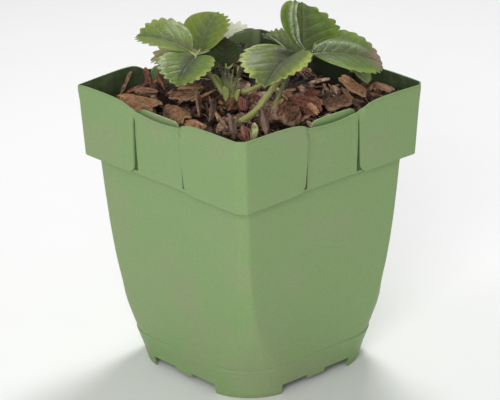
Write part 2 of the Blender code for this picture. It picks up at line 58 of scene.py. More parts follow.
POT_HEIGHT = 131.0
WALL = 0.9
RIM_HALF = 55.0
RIM_CORNER = 4.5
COLLAR_BOTTOM = 98.3
COLLAR_BOTTOM_HALF = 53.3
LEDGE_THICKNESS = 0.9
RECESS_DEPTH = 1.2
RECESS_HALF_WIDTH = 15.0
RECESS_STEP = 0.3
RIM_SHOULDER_WIDTH = 4.4
RIM_SHOULDER_DROP = 3.7
RIM_SCALLOP_DROP = 1.3
BODY_SECTIONS = (
    (98.3, 48.8, 4.4), (78.0, 47.5, 4.6), (62.0, 46.5, 5.4), (46.0, 45.4, 7.2), (30.0, 44.4, 12.0),
    (20.0, 43.8, 18.0), (15.2, 43.5, 22.0),
)
FOOT_SECTIONS = ((14.8, 44.0, 22.4), (8.0, 42.6, 23.8), (0.0, 41.2, 25.0))
FLOOR_TOP = 6.6
FLOOR_UNDERSIDE = 5.6
DRAIN_RING_INSET = 3.5
DRAIN_RING_BOTTOM = 2.0
FOOT_OPENING_TOP = 4.9
FOOT_OPENING_FROM = 5.0
FOOT_OPENING_TO = 20.5
FOOT_TAB_BOTTOM = 3.3
DRAIN_HOLE_RADIUS = 4.0
DRAIN_HOLE_SPREAD = 22.0
DRAIN_CUT_DEPTH = 4.0
FLAP_HALF_WIDTH = 13.0
FLAP_THICKNESS = 0.8
FLAP_TOP = 128.3
FLAP_TOP_HALF = 51.9
FLAP_BOTTOM_HALF = 49.9
SIDE_STRAIGHT = 50.5

MULCH_MIDDLE = 119.0
MULCH_SLOPE = 0.045
MULCH_DISH = 2.5
MULCH_DISH_RADIUS = 53.0

BED_HALF = 52.7
BED_HALF_AT_FLAP = 49.9
# The heap of bark against the wall at the least x: height, middle, and reach across and along it.
HEAP_HEIGHT = 5.5
HEAP_MIDDLE = (-51.0, -16.0)
HEAP_REACH = (7.0, 15.0)
# How far out in x and y together the peat may reach, inside the faceted corners of the collar.
BED_CORNER_REACH = 103.2

BASE_POWER = 0.66
TIP_POWER = 0.5

# Base point, heading and pitch of the midrib, roll, length, width, fold, bend, skew, curl.
LEAFLETS = {
    "leaf_a_leaflet_left": ((-23.1, -13.3, 142.35), 208, 28, -9, 26, 25.5, 20, 34, -0.12, 0.02),
    "leaf_a_leaflet_back": ((-20.8, -10.2, 142.4), 94, 72, -7, 19.5, 30, 2, 40, 0.05, 0.0),
    "leaf_a_leaflet_front": ((-19.4, -13.6, 141.1), 297, 1, -4, 23.5, 27, 22, 32, 0.06, 0.01),
    "leaf_b_leaflet_front": ((17.3, 11.2, 145.4), 290, 3, 0, 29, 34, 33, 32, 0.0, 0.03),
    "leaf_b_leaflet_up": ((18.8, 15.4, 146.6), 138, 65, 33, 22, 32, 9, 30, -0.2, 0.012),
    "leaf_b_leaflet_right": ((22.9, 17.2, 145.3), 64, 1, 18, 33, 31.5, 9, 30, 0.06, 0.01),
    "leaf_c_leaflet_up": ((-14.4, -0.6, 135.1), 138, 86, -7, 16, 15, 13, -46, 0.0, 0.01),
    "leaf_c_leaflet_left": ((-16.2, 1.0, 134.6), 185, 50, 10, 11, 9, 25, 20, 0.0, 0.0),
    "leaf_c_leaflet_right": ((-13.0, 2.2, 134.8), 95, 50, -10, 12, 10, 25, 20, 0.0, 0.0),
    "leaf_d_leaflet_side": ((8.9, 18.7, 140.1), 190, 45, 4, 18, 15, 31, 48, 0.0, 0.0),
    "leaf_d_leaflet_back": ((10.2, 21.0, 139.6), 80, 40, 0, 16, 15, 15, 40, 0.0, 0.01),
    "leaf_e_leaflet_hanging": ((28.4, 36.6, 135.0), 18, -20, -6, 9, 11, 9, 32, 0.0, 0.01),
    "leaf_e_leaflet_back": ((26.6, 38.4, 134.8), 105, 12, 0, 12, 11, 10, 40, 0.0, 0.01),
    "leaf_f_leaflet_left": ((-26.6, 2.6, 139.0), 215, 2, -16, 29, 21, 12, 30, 0.0, 0.01),
    "leaf_f_leaflet_right": ((-25.2, 5.6, 141.0), 66, 48, -6, 16, 18, 13, 56, 0.0, 0.0),
    "leaf_f_leaflet_back": ((-27.4, 6.3, 140.7), 140, 14, 0, 20, 18, 12, 36, 0.0, 0.01),
}
STALKS = {
    "petiole_a": (((-14.6, -2.4, 122.4), (-16.8, -5.4, 129.0), (-19.4, -9.6, 136.0),
                   (-21.2, -12.4, 141.4)), 1.2, 0.8),
    "petiole_b": (((8.6, -14.2, 117.4), (11.7, -6.7, 122.2), (13.3, -2.0, 127.6), (14.7, 2.9, 133.1),
                   (17.0, 7.8, 138.7), (19.8, 13.0, 144.9)), 1.7, 1.2),
    "petiole_c": (((-11.6, -1.4, 122.4), (-12.6, -1.0, 128.0), (-14.2, -0.2, 133.8)), 1.1, 0.8),
    "petiole_d": (((6.6, 8.0, 117.8), (7.6, 11.0, 124.0), (8.8, 15.0, 131.6), (9.8, 19.0, 139.2)), 1.3, 0.9),
    "petiole_e": (((-8.4, 1.8, 123.4), (-5.2, 4.7, 124.5), (-1.5, 10.3, 127.4), (1.8, 17.0, 131.8),
                   (6.2, 23.3, 136.9), (11.5, 29.2, 139.6), (18.9, 34.4, 138.7), (24.6, 36.2, 136.6),
                   (27.0, 36.8, 134.0)), 1.3, 0.8),
    "petiole_f": (((-14.8, 2.2, 122.4), (-17.2, 3.2, 128.6), (-21.4, 4.0, 134.4),
                   (-26.2, 4.6, 139.4)), 1.1, 0.8),
    "petiole_young": (((-11.4, 2.6, 122.4), (-11.8, 3.8, 128.0), (-12.6, 5.2, 133.4)), 0.9, 0.5),
}
CROWN_POINTS = ((-12.0, 0.4, 115.6), (-12.1, 0.4, 118.2), (-12.2, 0.5, 121.6))
CROWN_RADII = (3.4, 4.4, 3.6)
STIPULES = {
    "stipule_left": ((-17.4, -1.0, 121.4), 190, 68, 9.0, 4.2),
    "stipule_front": ((-10.2, -4.6, 120.6), 300, 76, 8.0, 3.6),
    "stipule_right": ((-6.4, -1.6, 120.8), 345, 70, 7.0, 3.2),
}
BUDS = {
    "bud_pale": ((14.6, -22.4, 122.2), (1.6, 1.5, 2.0), 20, 60),
    "bud_sprouting": ((33.2, -27.6, 123.2), (2.0, 1.6, 4.2), 120, 62),
}
CHIPS = {
    "bark_chip_tan": ((-47.0, -37.0, 121.6), (-24.5, -31.5, 121.0), 13.0, 2.6, 16, 30),
    "bark_chip_stick_wall": ((-46.5, -34.0, 125.0), (-50.2, -25.0, 130.2), 2.4, 1.4, 0, 0),
    "bark_chip_stick_left": ((-47.5, -26.0, 122.4), (-36.5, -21.5, 122.6), 3.0, 1.6, 30, 0),
    "bark_chip_red_spike": ((-47.0, -17.0, 121.0), (-49.6, -18.0, 130.0), 4.2, 1.6, 60, 0),
    "bark_chip_red_lean": ((-40.5, -14.5, 121.0), (-46.5, -13.0, 127.5), 3.2, 1.5, 40, 0),
    "bark_chip_brown_flat": ((-37.0, -8.0, 121.6), (-26.0, -4.5, 122.8), 12.0, 2.2, -18, 20),
    "bark_chip_slab_long": ((-33.5, -19.5, 121.0), (-20.0, -11.0, 123.0), 6.0, 2.2, 28, 10),
    "bark_chip_curl_left": ((-22.5, -27.0, 121.0), (-3.5, -34.0, 121.4), 9.0, 1.8, 24, 60),
    "bark_chip_curl_front": ((-1.5, -36.5, 121.4), (13.0, -37.5, 122.2), 8.0, 1.8, 22, 50),
    "bark_chip_grey_leaf": ((-4.5, -25.5, 120.4), (-13.0, -18.0, 127.0), 9.5, 1.4, 80, 12),
    "bark_chip_dark_lean": ((4.0, -26.5, 120.4), (-7.5, -13.5, 124.6), 4.0, 1.8, 50, 0),
    "bark_chip_dark_front": ((33.0, -38.5, 123.2), (21.5, -30.0, 128.0), 8.5, 2.2, 70, 12),
    "bark_chip_red_front": ((40.5, -38.5, 124.4), (34.0, -34.5, 128.4), 5.5, 2.0, 60, 0),
    "bark_chip_red_square": ((2.6, -6.0, 119.8), (-3.6, -0.6, 122.6), 5.6, 1.8, 40, 0),
    "bark_chip_fibre_front": ((41.0, -27.5, 124.0), (26.5, -16.5, 129.2), 5.4, 2.4, 76, 10),
    "bark_chip_chunk": ((32.5, -10.5, 124.0), (24.0, 4.0, 124.6), 13.0, 5.0, 24, 24),
    "bark_chip_purple_long": ((16.0, 10.6, 124.4), (38.5, 8.0, 126.2), 8.0, 2.6, 52, 20),
    "bark_chip_red_middle": ((13.0, 20.5, 122.6), (22.5, 19.5, 124.8), 9.0, 2.2, 30, 10),
    "bark_chip_orange_long": ((15.5, 39.5, 128.4), (41.5, 32.5, 126.2), 6.0, 2.2, 14, 0),
    "bark_chip_wide_brown": ((43.5, 14.0, 126.4), (28.5, 24.5, 125.6), 14.0, 2.4, -14, 16),
    "bark_chip_pale_stick": ((-1.0, 16.5, 121.2), (6.0, 20.5, 122.2), 2.4, 1.4, 0, 0),
    "bark_chip_red_stick": ((-8.0, 9.5, 121.0), (1.0, 3.6, 121.6), 3.2, 1.8, 20, 0),
    "bark_chip_back_stick": ((33.0, 44.5, 127.6), (46.0, 43.5, 127.4), 3.6, 1.8, 20, 0),
}

# ---------------------------------------------------------------- values of this scene

CAMERA_AZIMUTH = 47.96
CAMERA_ELEVATION = 21.88
CAMERA_ROLL = -0.915
CAMERA_DISTANCE = 1210.0
CAMERA_TARGET = (-0.24, -0.26, 75.0)
CAMERA_LENS = 194.9
# Half the side of the floor, in metres.
FLOOR_HALF = 6.0

ARC_STEPS = 14
BODY_STEP = 2.5
BODY_SMOOTHING = 6.0
LIP_DROP = 0.35
BEAD_HEIGHT = 1.8
BEAD_DEPTH = 0.42
GROOVE_WIDTH = 0.45
GROOVE_DEPTH = 0.25
PANEL_EDGE = 12.0
PANEL_STEP = 0.2
FLANGE_ROUNDING = 4.5
LIP_DUST = 0.35
# Painted shade mixed into the pot's colour: inside the pot, and in the slots beside the recess, where shade
# falls.
INNER_PAINTED_SHADE = 0.92
SLOT_PAINTED_SHADE = 0.8
CORNER_SLOT_PAINTED_SHADE = 0.1
# A painted lit patch, where light falls inside the wall at the least x near the back corner: how much less
# painted shade, its middle and half length in y, and the x from which it fades.
LIT_PATCH_AMOUNT = 0.78
LIT_PATCH_MIDDLE = 42.0
LIT_PATCH_LENGTH = 24.0
LIT_PATCH_WALL = -52.4
# Painted shade on the label flap at the back right, which lies in the shade of the bark and leaves.
FLAP_PAINTED_SHADE = 1.15
# Angles between faces from which an edge is sharp.
POT_SHARP_FROM = 42
BARK_SHARP_FROM = 50
# The thin rim of the front left side sags a little between its left corner and the recess.
LOW_CORNER_DIP = 2.5
LOW_CORNER_LENGTH = 34.0
LOW_CORNER_WIDTH = 3.2
CORNER_DIP = 0.7
CORNER_DIP_WIDTH = 9.0
RECESS_SPREAD = 0.08
COLLAR_DROOP = 0.9
RIM_STEP = 3.0
RIM_STRAIGHT_FROM = 124.5
COLLAR_HEIGHTS = (98.6, 99.0, 99.6, 100.4, 101.4, 102.8, 106.0, 110.0, 114.0, 118.0, 121.5, 122.9)
FACET_BELOW = 8.0
# Each flap's side of the pot, how far it stands to the right of the side's middle, and its top.
FLAP_PLACES = (("front_left", -0.9, FLAP_TOP), ("front_right", 1.7, FLAP_TOP + 0.6),
               ("back_right", 0.0, FLAP_TOP), ("back_left", 0.0, FLAP_TOP))

TEETH = 8
TOOTH_PEAK = 0.62
TOOTH_DEPTH = 2.2
TOOTH_INSIDE = 0.75
VEIN_START = 0.06
LEAF_ROWS = 112
LEAF_COLUMNS = 30
SHEATH_ROWS = 30
SHEATH_COLUMNS = 12
SHEATH_VEINS = 6
LEAF_THICKNESS = 0.32
PILLOW_DEPTH = 0.2

# Pleats: side, how far out at the base and at the tip, half width, height, where along the blade they
# fade, and the strength of a painted highlight along them.
PLEATS = {
    "leaf_b_leaflet_up": ((1.0, -0.05, 0.8, 0.06, 1.1, 1.0, 0.95), (1.0, 0.3, 0.92, 0.09, 0.7, 0.85, 0.8)),
    "leaf_b_leaflet_front": ((-1.0, 0.25, 0.6, 0.12, 0.6, 0.38, 0.75),
                             (-1.0, 1.0, 1.0, 0.06, 0.0, 0.95, 0.4)),
    "leaf_b_leaflet_right": ((1.0, 0.3, 0.45, 0.11, 0.6, 0.8, 0.5), (1.0, 0.7, 0.7, 0.2, 0.4, 0.26, 0.9)),
    "leaf_a_leaflet_left": ((-1.0, 0.75, 0.9, 0.12, 0.3, 0.55, 0.6),),
    "leaf_a_leaflet_front": ((-1.0, 0.8, 0.9, 0.12, 0.1, 1.2, 0.35),),
    "leaf_d_leaflet_side": ((1.0, 1.0, 1.0, 0.4, 0.0, 1.2, 1.0),),
}
# Pillows between the side veins, where they are not PILLOW_DEPTH.
PILLOWS = {"leaf_b_leaflet_up": 0.22, "leaf_b_leaflet_right": 0.22, "leaf_b_leaflet_front": 0.14,
           "leaf_a_leaflet_left": 0.07, "leaf_a_leaflet_front": 0.1, "leaf_a_leaflet_back": 0.1,
           "leaf_d_leaflet_side": 0.08}
# Teeth a side and their depth, where a leaflet has coarser or finer ones.
COARSE_TEETH = {"leaf_f_leaflet_right": (5, 4.6), "leaf_f_leaflet_left": (6, 3.2),
                "leaf_b_leaflet_up": (7, 2.6), "leaf_b_leaflet_right": (9, 1.7),
                "leaf_b_leaflet_front": (10, 1.9), "leaf_a_leaflet_front": (9, 1.9)}
# Stretches of margin without teeth: side, and where along the blade the teeth begin.
SMOOTH_MARGINS = {"leaf_b_leaflet_up": (1.0, 0.72), "leaf_a_leaflet_back": (1.0, 0.93),
                  "leaf_a_leaflet_left": (-1.0, 0.22), "leaf_d_leaflet_side": (1.0, 1.1)}
# Withered tips: how brown, and where along the blade the brown begins.
WITHERED = {"leaf_b_leaflet_right": (2.4, 0.62), "leaf_b_leaflet_front": (0.5, 0.86),
            "leaf_a_leaflet_left": (0.4, 0.88), "leaf_a_leaflet_back": (0.4, 0.88)}
LEAF_FINISH = {
    "leaf_a": "leaf_bright",
    "leaf_b": "leaf_glossy",
    "leaf_c": "leaf_dark",
    "leaf_d": "leaf_shaded",
    "leaf_e": "leaf_young",
    "leaf_f": "leaf_brownish",
}
# Colours of the blade, its centre, its margin, the veins and the underside, roughness and dapples.
LEAF_COLOURS = {
    "leaf_bright": ((0.15, 0.215, 0.028), (0.1, 0.13, 0.04), (0.26, 0.32, 0.045), (0.27, 0.33, 0.08),
                    (0.4, 0.46, 0.28), 0.45, 0.5),
    "leaf_glossy": ((0.105, 0.17, 0.02), (0.07, 0.1, 0.026), (0.24, 0.35, 0.03), (0.21, 0.26, 0.08),
                    (0.42, 0.46, 0.3), 0.38, 0.6),
    "leaf_deeper": ((0.125, 0.19, 0.022), (0.05, 0.07, 0.026), (0.3, 0.39, 0.06), (0.2, 0.26, 0.08),
                    (0.4, 0.46, 0.28), 0.42, 0.5),
    "leaf_greyed": ((0.13, 0.17, 0.032), (0.08, 0.09, 0.042), (0.45, 0.55, 0.07), (0.18, 0.21, 0.09),
                    (0.42, 0.46, 0.3), 0.5, 0.8),
    # leaf_dark is painted shade: leaf C's colours darkened as it lies in shade under the other leaves.
    "leaf_dark": ((0.06, 0.08, 0.03), (0.05, 0.06, 0.028), (0.08, 0.1, 0.04), (0.1, 0.13, 0.05),
                  (0.1, 0.15, 0.06), 0.5, 0.5),
    "leaf_shaded": ((0.1, 0.135, 0.03), (0.06, 0.08, 0.025), (0.19, 0.22, 0.06), (0.2, 0.24, 0.08),
                    (0.34, 0.38, 0.2), 0.42, 0.6),
    # Pale as a young leaf, and partly painted light, so that leaf E, in shade under the others, shows as
    # bright as a lit leaf.
    "leaf_young": ((0.38, 0.48, 0.15), (0.33, 0.42, 0.15), (0.46, 0.54, 0.2), (0.5, 0.56, 0.25),
                   (0.46, 0.52, 0.25), 0.45, 0.4),
    "leaf_brownish": ((0.28, 0.28, 0.11), (0.24, 0.2, 0.1), (0.3, 0.22, 0.12), (0.32, 0.3, 0.14),
                      (0.36, 0.36, 0.22), 0.5, 0.6),
    # leaf_pale is painted reflection: leaf F's right leaflet made pale grey as though its top showed the
    # lamps' gloss.
    "leaf_pale": ((0.6, 0.62, 0.46), (0.52, 0.55, 0.38), (0.7, 0.69, 0.55), (0.72, 0.72, 0.58),
                  (0.68, 0.7, 0.54), 0.55, 0.3),
    "sheath": ((0.42, 0.5, 0.09), (0.3, 0.36, 0.07), (0.5, 0.46, 0.16), (0.5, 0.55, 0.18),
               (0.5, 0.54, 0.2), 0.55, 0.5),
}
# Colours at the foot and at the end of a stalk.
STALK_COLOURS = {
    "stalk_green": ((0.36, 0.36, 0.09), (0.4, 0.45, 0.13)),
    "stalk_young": ((0.38, 0.45, 0.13), (0.22, 0.2, 0.08)),
    "stalk_shaded": ((0.3, 0.36, 0.08), (0.07, 0.09, 0.03)),
    "stalk_olive": ((0.46, 0.46, 0.14), (0.2, 0.25, 0.06)),
}
# Light, dark and broken-edge colours, and how worn.
BARK_COLOURS = {
    "bark_tan": ((0.55, 0.3, 0.155), (0.2, 0.09, 0.045), (0.78, 0.55, 0.34), 0.5),
    "bark_brown": ((0.37, 0.2, 0.12), (0.075, 0.036, 0.023), (0.62, 0.43, 0.28), 0.5),
    "bark_red": ((0.3, 0.11, 0.07), (0.07, 0.027, 0.02), (0.46, 0.22, 0.15), 0.45),
    "bark_dark": ((0.15, 0.085, 0.058), (0.03, 0.018, 0.013), (0.3, 0.2, 0.14), 0.5),
}
# Clean and stained colours, patch scale and roughness.
PATCHY_COLOURS = {
    # Dark peat, made near-black as painted shade in the gaps between the chips.
    "soil_peat": ((0.016, 0.011, 0.008), (0.045, 0.027, 0.018), 170.0, 0.95),
    "crown_scaly": ((0.25, 0.12, 0.07), (0.12, 0.055, 0.035), 260.0, 0.75),
    "bud_scaly": ((0.56, 0.58, 0.27), (0.24, 0.17, 0.06), 420.0, 0.6),
    "plant_hair": ((0.75, 0.76, 0.6), (0.6, 0.62, 0.45), 300.0, 0.5),
}
# Slots of the finishes that are not leaf_green.
LEAF_SLOTS = {"leaf_dark": "leaf_dark", "leaf_shaded": "leaf_dark", "leaf_pale": "leaf_pale"}
# Leaflets whose colours are not those of their leaf.
OWN_FINISH = {"leaf_b_leaflet_front": "leaf_greyed", "leaf_f_leaflet_right": "leaf_pale",
              "leaf_a_leaflet_front": "leaf_deeper"}


# ---------------------------------------------------------------- meshes


def piece(name, points, faces, material, slot, nodes=(), attributes=None, uv=None, merge=0.0,
          sharp=None):
    """A closed mesh given in millimetres, as a piece of the object that rides with the pot."""
    mesh = bpy.data.meshes.new(name)
    mesh.from_pydata((np.asarray(points, float) * MM).tolist(), [], faces)
    for key, values in (attributes or {}).items():
        mesh.attributes.new(key, "FLOAT", "POINT").data.foreach_set("value", np.ravel(values).astype(float))
    if uv is not None:
        corner = np.empty(len(mesh.loops), int)
        mesh.loops.foreach_get("vertex_index", corner)
        layer = mesh.uv_layers.new(name="UVMap")
        layer.data.foreach_set("uv", np.asarray(uv, float).reshape(-1, 2)[corner].ravel())
    if merge:
        bm = bmesh.new()
        bm.from_mesh(mesh)
        bmesh.ops.remove_doubles(bm, verts=bm.verts, dist=merge * MM)
        bmesh.ops.dissolve_degenerate(bm, edges=bm.edges, dist=merge * MM / 2)
        bmesh.ops.recalc_face_normals(bm, faces=bm.faces)
        bm.to_mesh(mesh)
        bm.free()
    mesh.shade_smooth()
    if sharp is not None:
        mesh.set_sharp_from_angle(angle=math.radians(sharp))
    return add_piece(name, mesh, material, slot, nodes)


def add_piece(name, mesh, material, slot, nodes=()):
    obj = bpy.data.objects.new(name, mesh)
    bpy.context.scene.collection.objects.link(obj)
    mesh.materials.clear()
    mesh.materials.append(material)
    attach(obj, "root")
    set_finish(obj, slot)
    if nodes:
        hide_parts(*nodes)
    return obj


def ring_faces(rows, count):
    """Quads between rings of count points, each ring joined to the next."""
    faces = []
    for row in range(rows - 1):
        low, high = row * count, (row + 1) * count
        for i in range(count):
            j = (i + 1) % count
            faces.append((low + i, low + j, high + j, high + i))
    return faces


def closed_rings(rings, ends):
    """Points and faces of a skin over rings, closed by a fan from a point at each end."""
    count = len(rings[0])
    points = np.concatenate([*rings, ends])
    faces = ring_faces(len(rings), count)
    last = (len(rings) - 1) * count
    for i in range(count):
        j = (i + 1) % count
        faces.append((j, i, len(points) - 2))
        faces.append((last + i, last + j, len(points) - 1))
    return points, faces


def two_sided_faces(rows, columns):
    """An upper sheet, a lower sheet after it, and the strip that joins their margins."""
    lower = rows * columns
    faces = []
    for r in range(rows - 1):
        for c in range(columns - 1):
            a, b = r * columns + c, (r + 1) * columns + c
            faces.append((a, b, b + 1, a + 1))
            faces.append((lower + a, lower + a + 1, lower + b + 1, lower + b))
    border = [(0, c) for c in range(columns)] + [(r, columns - 1) for r in range(1, rows)]
    border += [(rows - 1, c) for c in range(columns - 2, -1, -1)] + [(r, 0) for r in range(rows - 2, 0, -1)]
    border = [r * columns + c for r, c in border]
    for a, b in zip(border, border[1:] + border[:1]):
        faces.append((a, b, lower + b, lower + a))
    return faces


def ripples(chance, count, lowest, highest, lean=None):
    """A sum of sine waves over two directions, as a function that stays within about 1."""
    terms = []
    for _ in range(count):
        turn = chance.uniform(0.0, 2.0 * math.pi) if lean is None else lean + chance.gauss(0.0, 0.12)
        length = chance.uniform(lowest, highest)
        terms.append((math.cos(turn) * length, math.sin(turn) * length, chance.uniform(0.0, 6.3)))

    def height(u, v):
        return sum(np.sin(a * u + b * v + c) for a, b, c in terms) / math.sqrt(count)

    return height


def smooth_step(value):
    value = np.clip(value, 0.0, 1.0)
    return value * value * (3.0 - 2.0 * value)


def unit(vectors):
    return vectors / np.linalg.norm(vectors, axis=-1, keepdims=True)


# ---------------------------------------------------------------- node trees


def feed(tree, socket, value):
    """Links the value into the socket, or sets it there when it is a plain one."""
    if isinstance(value, bpy.types.NodeSocket):
        tree.links.new(value, socket)
    else:
        socket.default_value = value


def live(sockets, key):
    """The socket at that place, or the one of that name which the node's settings switch on."""
    if isinstance(key, int):
        return sockets[key]
    return next(socket for socket in sockets if socket.name == key and socket.enabled)


def node(tree, kind, inputs=None, **settings):
    made = tree.nodes.new(kind)
    for key, value in settings.items():
        setattr(made, key, value)
    for key, value in (inputs or {}).items():
        feed(tree, live(made.inputs, key), value)
    return made


def join(tree, target, **values):
    """Links each value into the target's input of that name."""
    for key, value in values.items():
        tree.links.new(value, target.inputs[key.replace("_", " ")])


def shader_group(name, inputs, outputs):
    """A new shader node group, its input node and its output node."""
    tree = bpy.data.node_groups.new(name, "ShaderNodeTree")
    for key, (kind, value) in inputs.items():
        socket = tree.interface.new_socket(key, in_out="INPUT", socket_type="NodeSocket" + kind)
        if value is not None:
            socket.default_value = value
    for key, kind in outputs.items():
        tree.interface.new_socket(key, in_out="OUTPUT", socket_type="NodeSocket" + kind)
    return tree, node(tree, "NodeGroupInput"), node(tree, "NodeGroupOutput")


def noise(tree, vector, scale, detail=4.0, roughness=0.5):
    inputs = {"Vector": vector, "Scale": scale, "Detail": detail, "Roughness": roughness}
    return node(tree, "ShaderNodeTexNoise", inputs).outputs["Fac"]


def spread(tree, value, low, high, to_low=0.0, to_high=1.0):
    """The value's range from low to high, stretched smoothly over to_low to to_high."""
    inputs = {"Value": value, "From Min": low, "From Max": high, "To Min": to_low, "To Max": to_high}
    return node(tree, "ShaderNodeMapRange", inputs, interpolation_type="SMOOTHSTEP").outputs["Result"]


def maths(tree, operation, first, second):
    return node(tree, "ShaderNodeMath", {0: first, 1: second}, operation=operation).outputs["Value"]


def times(tree, first, second):
    return maths(tree, "MULTIPLY", first, second)


def mix(tree, amount, first, second, mode="MIX"):
    """Two colours mixed, each a socket or three plain numbers."""
    ends = [(*colour, 1.0) if isinstance(colour, tuple) else colour for colour in (first, second)]
    made = node(tree, "ShaderNodeMix", {"Factor": amount, "A": ends[0], "B": ends[1]},
                data_type="RGBA", blend_type=mode)
    return live(made.outputs, "Result")


def bump(tree, height, strength, distance):
    inputs = {"Height": height, "Strength": strength, "Distance": distance * MM}
    return node(tree, "ShaderNodeBump", inputs).outputs["Normal"]


def new_material(name, **constants):
    material = bpy.data.materials.new(name)
    material.use_nodes = True
    shader = material.node_tree.nodes["Principled BSDF"]
    for key, value in constants.items():
        shader.inputs[key.replace("_", " ")].default_value = value
    return material, material.node_tree, shader


def attribute(tree, name):
    return node(tree, "ShaderNodeAttribute", attribute_name=name).outputs["Fac"]


def place_in_object(tree):
    return node(tree, "ShaderNodeTexCoord").outputs["Object"]


def place_on_surface(tree):
    return node(tree, "ShaderNodeUVMap", uv_map="UVMap").outputs["UV"]


def add_group(tree, group, **inputs):
    named = {key.replace("_", " "): value for key, value in inputs.items()}
    return node(tree, "ShaderNodeGroup", named, node_tree=group)


# ---------------------------------------------------------------- shared patterns


def stain_group():
    """Two sizes of soft patches that turn one colour into another, and a fine grain."""
    tree, given, out = shader_group(
        "stain",
        {"Vector": ("Vector", None), "Clean": ("Color", (1, 1, 1, 1)), "Stained": ("Color", (0, 0, 0, 1)),
         "Patch Scale": ("Float", 40.0), "Grain Scale": ("Float", 900.0), "Amount": ("Float", 0.5)},
        {"Color": "Color", "Patches": "Float", "Grain": "Float"},
    )
    get = given.outputs
    patches = spread(tree, noise(tree, get["Vector"], get["Patch Scale"], 5.0, 0.55), 0.4, 0.72)
    colour = mix(tree, times(tree, patches, get["Amount"]), get["Clean"], get["Stained"])
    grain = noise(tree, get["Vector"], get["Grain Scale"], 2.0, 0.6)
    shade = spread(tree, grain, 0.25, 0.75, 0.93, 1.07)
    shaded = node(tree, "ShaderNodeVectorMath", {0: colour, 3: shade}, operation="SCALE")
    join(tree, out, Color=shaded.outputs["Vector"], Patches=patches, Grain=grain)
    return tree


def leaf_group():
    """Colour and relief of a blade's upper or lower face, from its net of veins."""
    tree, given, out = shader_group(
        "leaf_face",
        {"Blade": ("Color", (0.2, 0.4, 0.1, 1)), "Centre": ("Color", (0.2, 0.3, 0.2, 1)),
         "Margin": ("Color", (0.4, 0.5, 0.1, 1)), "Vein": ("Color", (0.4, 0.5, 0.2, 1)),
         "Under": ("Color", (0.5, 0.6, 0.4, 1)), "Net Scale": ("Float", 1.1), "Dapple": ("Float", 0.5)},
        {"Color": "Color", "Height": "Float", "Gloss": "Float"},
    )
    get = given.outputs
    place = place_in_object(tree)
    vein = attribute(tree, "vein")
    under = attribute(tree, "underside")
    # The blade, from its centre out to its margin, with dapples.
    soft = noise(tree, place, 130.0, 4.0, 0.6)
    wavering = times(tree, maths(tree, "SUBTRACT", soft, 0.5), 0.7)
    outward = maths(tree, "ADD", attribute(tree, "margin"), wavering)
    upper = mix(tree, spread(tree, outward, 0.1, 0.55), get["Centre"], get["Blade"])
    upper = mix(tree, spread(tree, outward, 0.7, 1.1), upper, get["Margin"])
    dapples = spread(tree, noise(tree, place, 600.0, 4.0, 0.65), 0.38, 0.68)
    darker = mix(tree, 1.0, upper, (0.55, 0.62, 0.5), "MULTIPLY")
    upper = mix(tree, times(tree, dapples, get["Dapple"]), upper, darker)
    # The net of fine veins, the veins themselves and a painted highlight, pale streaks along the pleats.
    net = node(tree, "ShaderNodeTexVoronoi", {"Vector": place_on_surface(tree), "Scale": get["Net Scale"]},
               feature="DISTANCE_TO_EDGE")
    cells = spread(tree, net.outputs["Distance"], 0.0, 0.22)
    upper = mix(tree, times(tree, maths(tree, "SUBTRACT", 1.0, cells), 0.12), upper, get["Vein"])
    upper = mix(tree, times(tree, vein, 0.2), upper, get["Vein"])
    speckle = spread(tree, noise(tree, place, 800.0, 4.0, 0.75), 0.36, 0.6, 0.15, 1.0)
    upper = mix(tree, times(tree, attribute(tree, "bloom"), speckle), upper, (0.5, 0.58, 0.42))
    lower = mix(tree, times(tree, vein, 0.5), get["Under"], get["Vein"])
    colour = mix(tree, under, upper, lower)
    dry = times(tree, attribute(tree, "withered"), spread(tree, soft, 0.3, 0.6, 0.5, 1.2))
    colour = mix(tree, dry, colour, (0.27, 0.19, 0.14))
    relief = maths(tree, "SUBTRACT", cells, times(tree, vein, 0.8))
    gloss = times(tree, cells, maths(tree, "SUBTRACT", 1.0, under))
    join(tree, out, Color=colour, Height=relief, Gloss=gloss)
    return tree


def bark_group():
    """Torn bark: fibres that run along a chip, darker hollows and paler broken edges."""
    tree, given, out = shader_group(
        "bark_face",
        {"Vector": ("Vector", None), "Light": ("Color", (0.4, 0.2, 0.1, 1)),
         "Dark": ("Color", (0.1, 0.05, 0.03, 1)), "Edge": ("Color", (0.5, 0.3, 0.15, 1)),
         "Fibre Scale": ("Float", 2.2), "Worn": ("Float", 0.3)},
        {"Color": "Color", "Height": "Float"},
    )
    get = given.outputs
    stretched = node(tree, "ShaderNodeMapping", {"Vector": get["Vector"], "Scale": (0.16, 1.0, 1.0)})
    fibres = noise(tree, stretched.outputs["Vector"], get["Fibre Scale"], 6.0, 0.65)
    lumps = noise(tree, get["Vector"], 0.45, 4.0, 0.6)
    tone = maths(tree, "ADD", times(tree, fibres, 0.65), times(tree, lumps, 0.5))
    colour = mix(tree, spread(tree, tone, 0.42, 0.72), get["Dark"], get["Light"])
    broken = times(tree, spread(tree, attribute(tree, "margin"), 0.72, 1.0), get["Worn"])
    flecks = times(tree, spread(tree, fibres, 0.6, 0.78), get["Worn"])
    colour = mix(tree, maths(tree, "MAXIMUM", broken, flecks), colour, get["Edge"])
    join(tree, out, Color=colour, Height=tone)
    return tree


# ---------------------------------------------------------------- materials


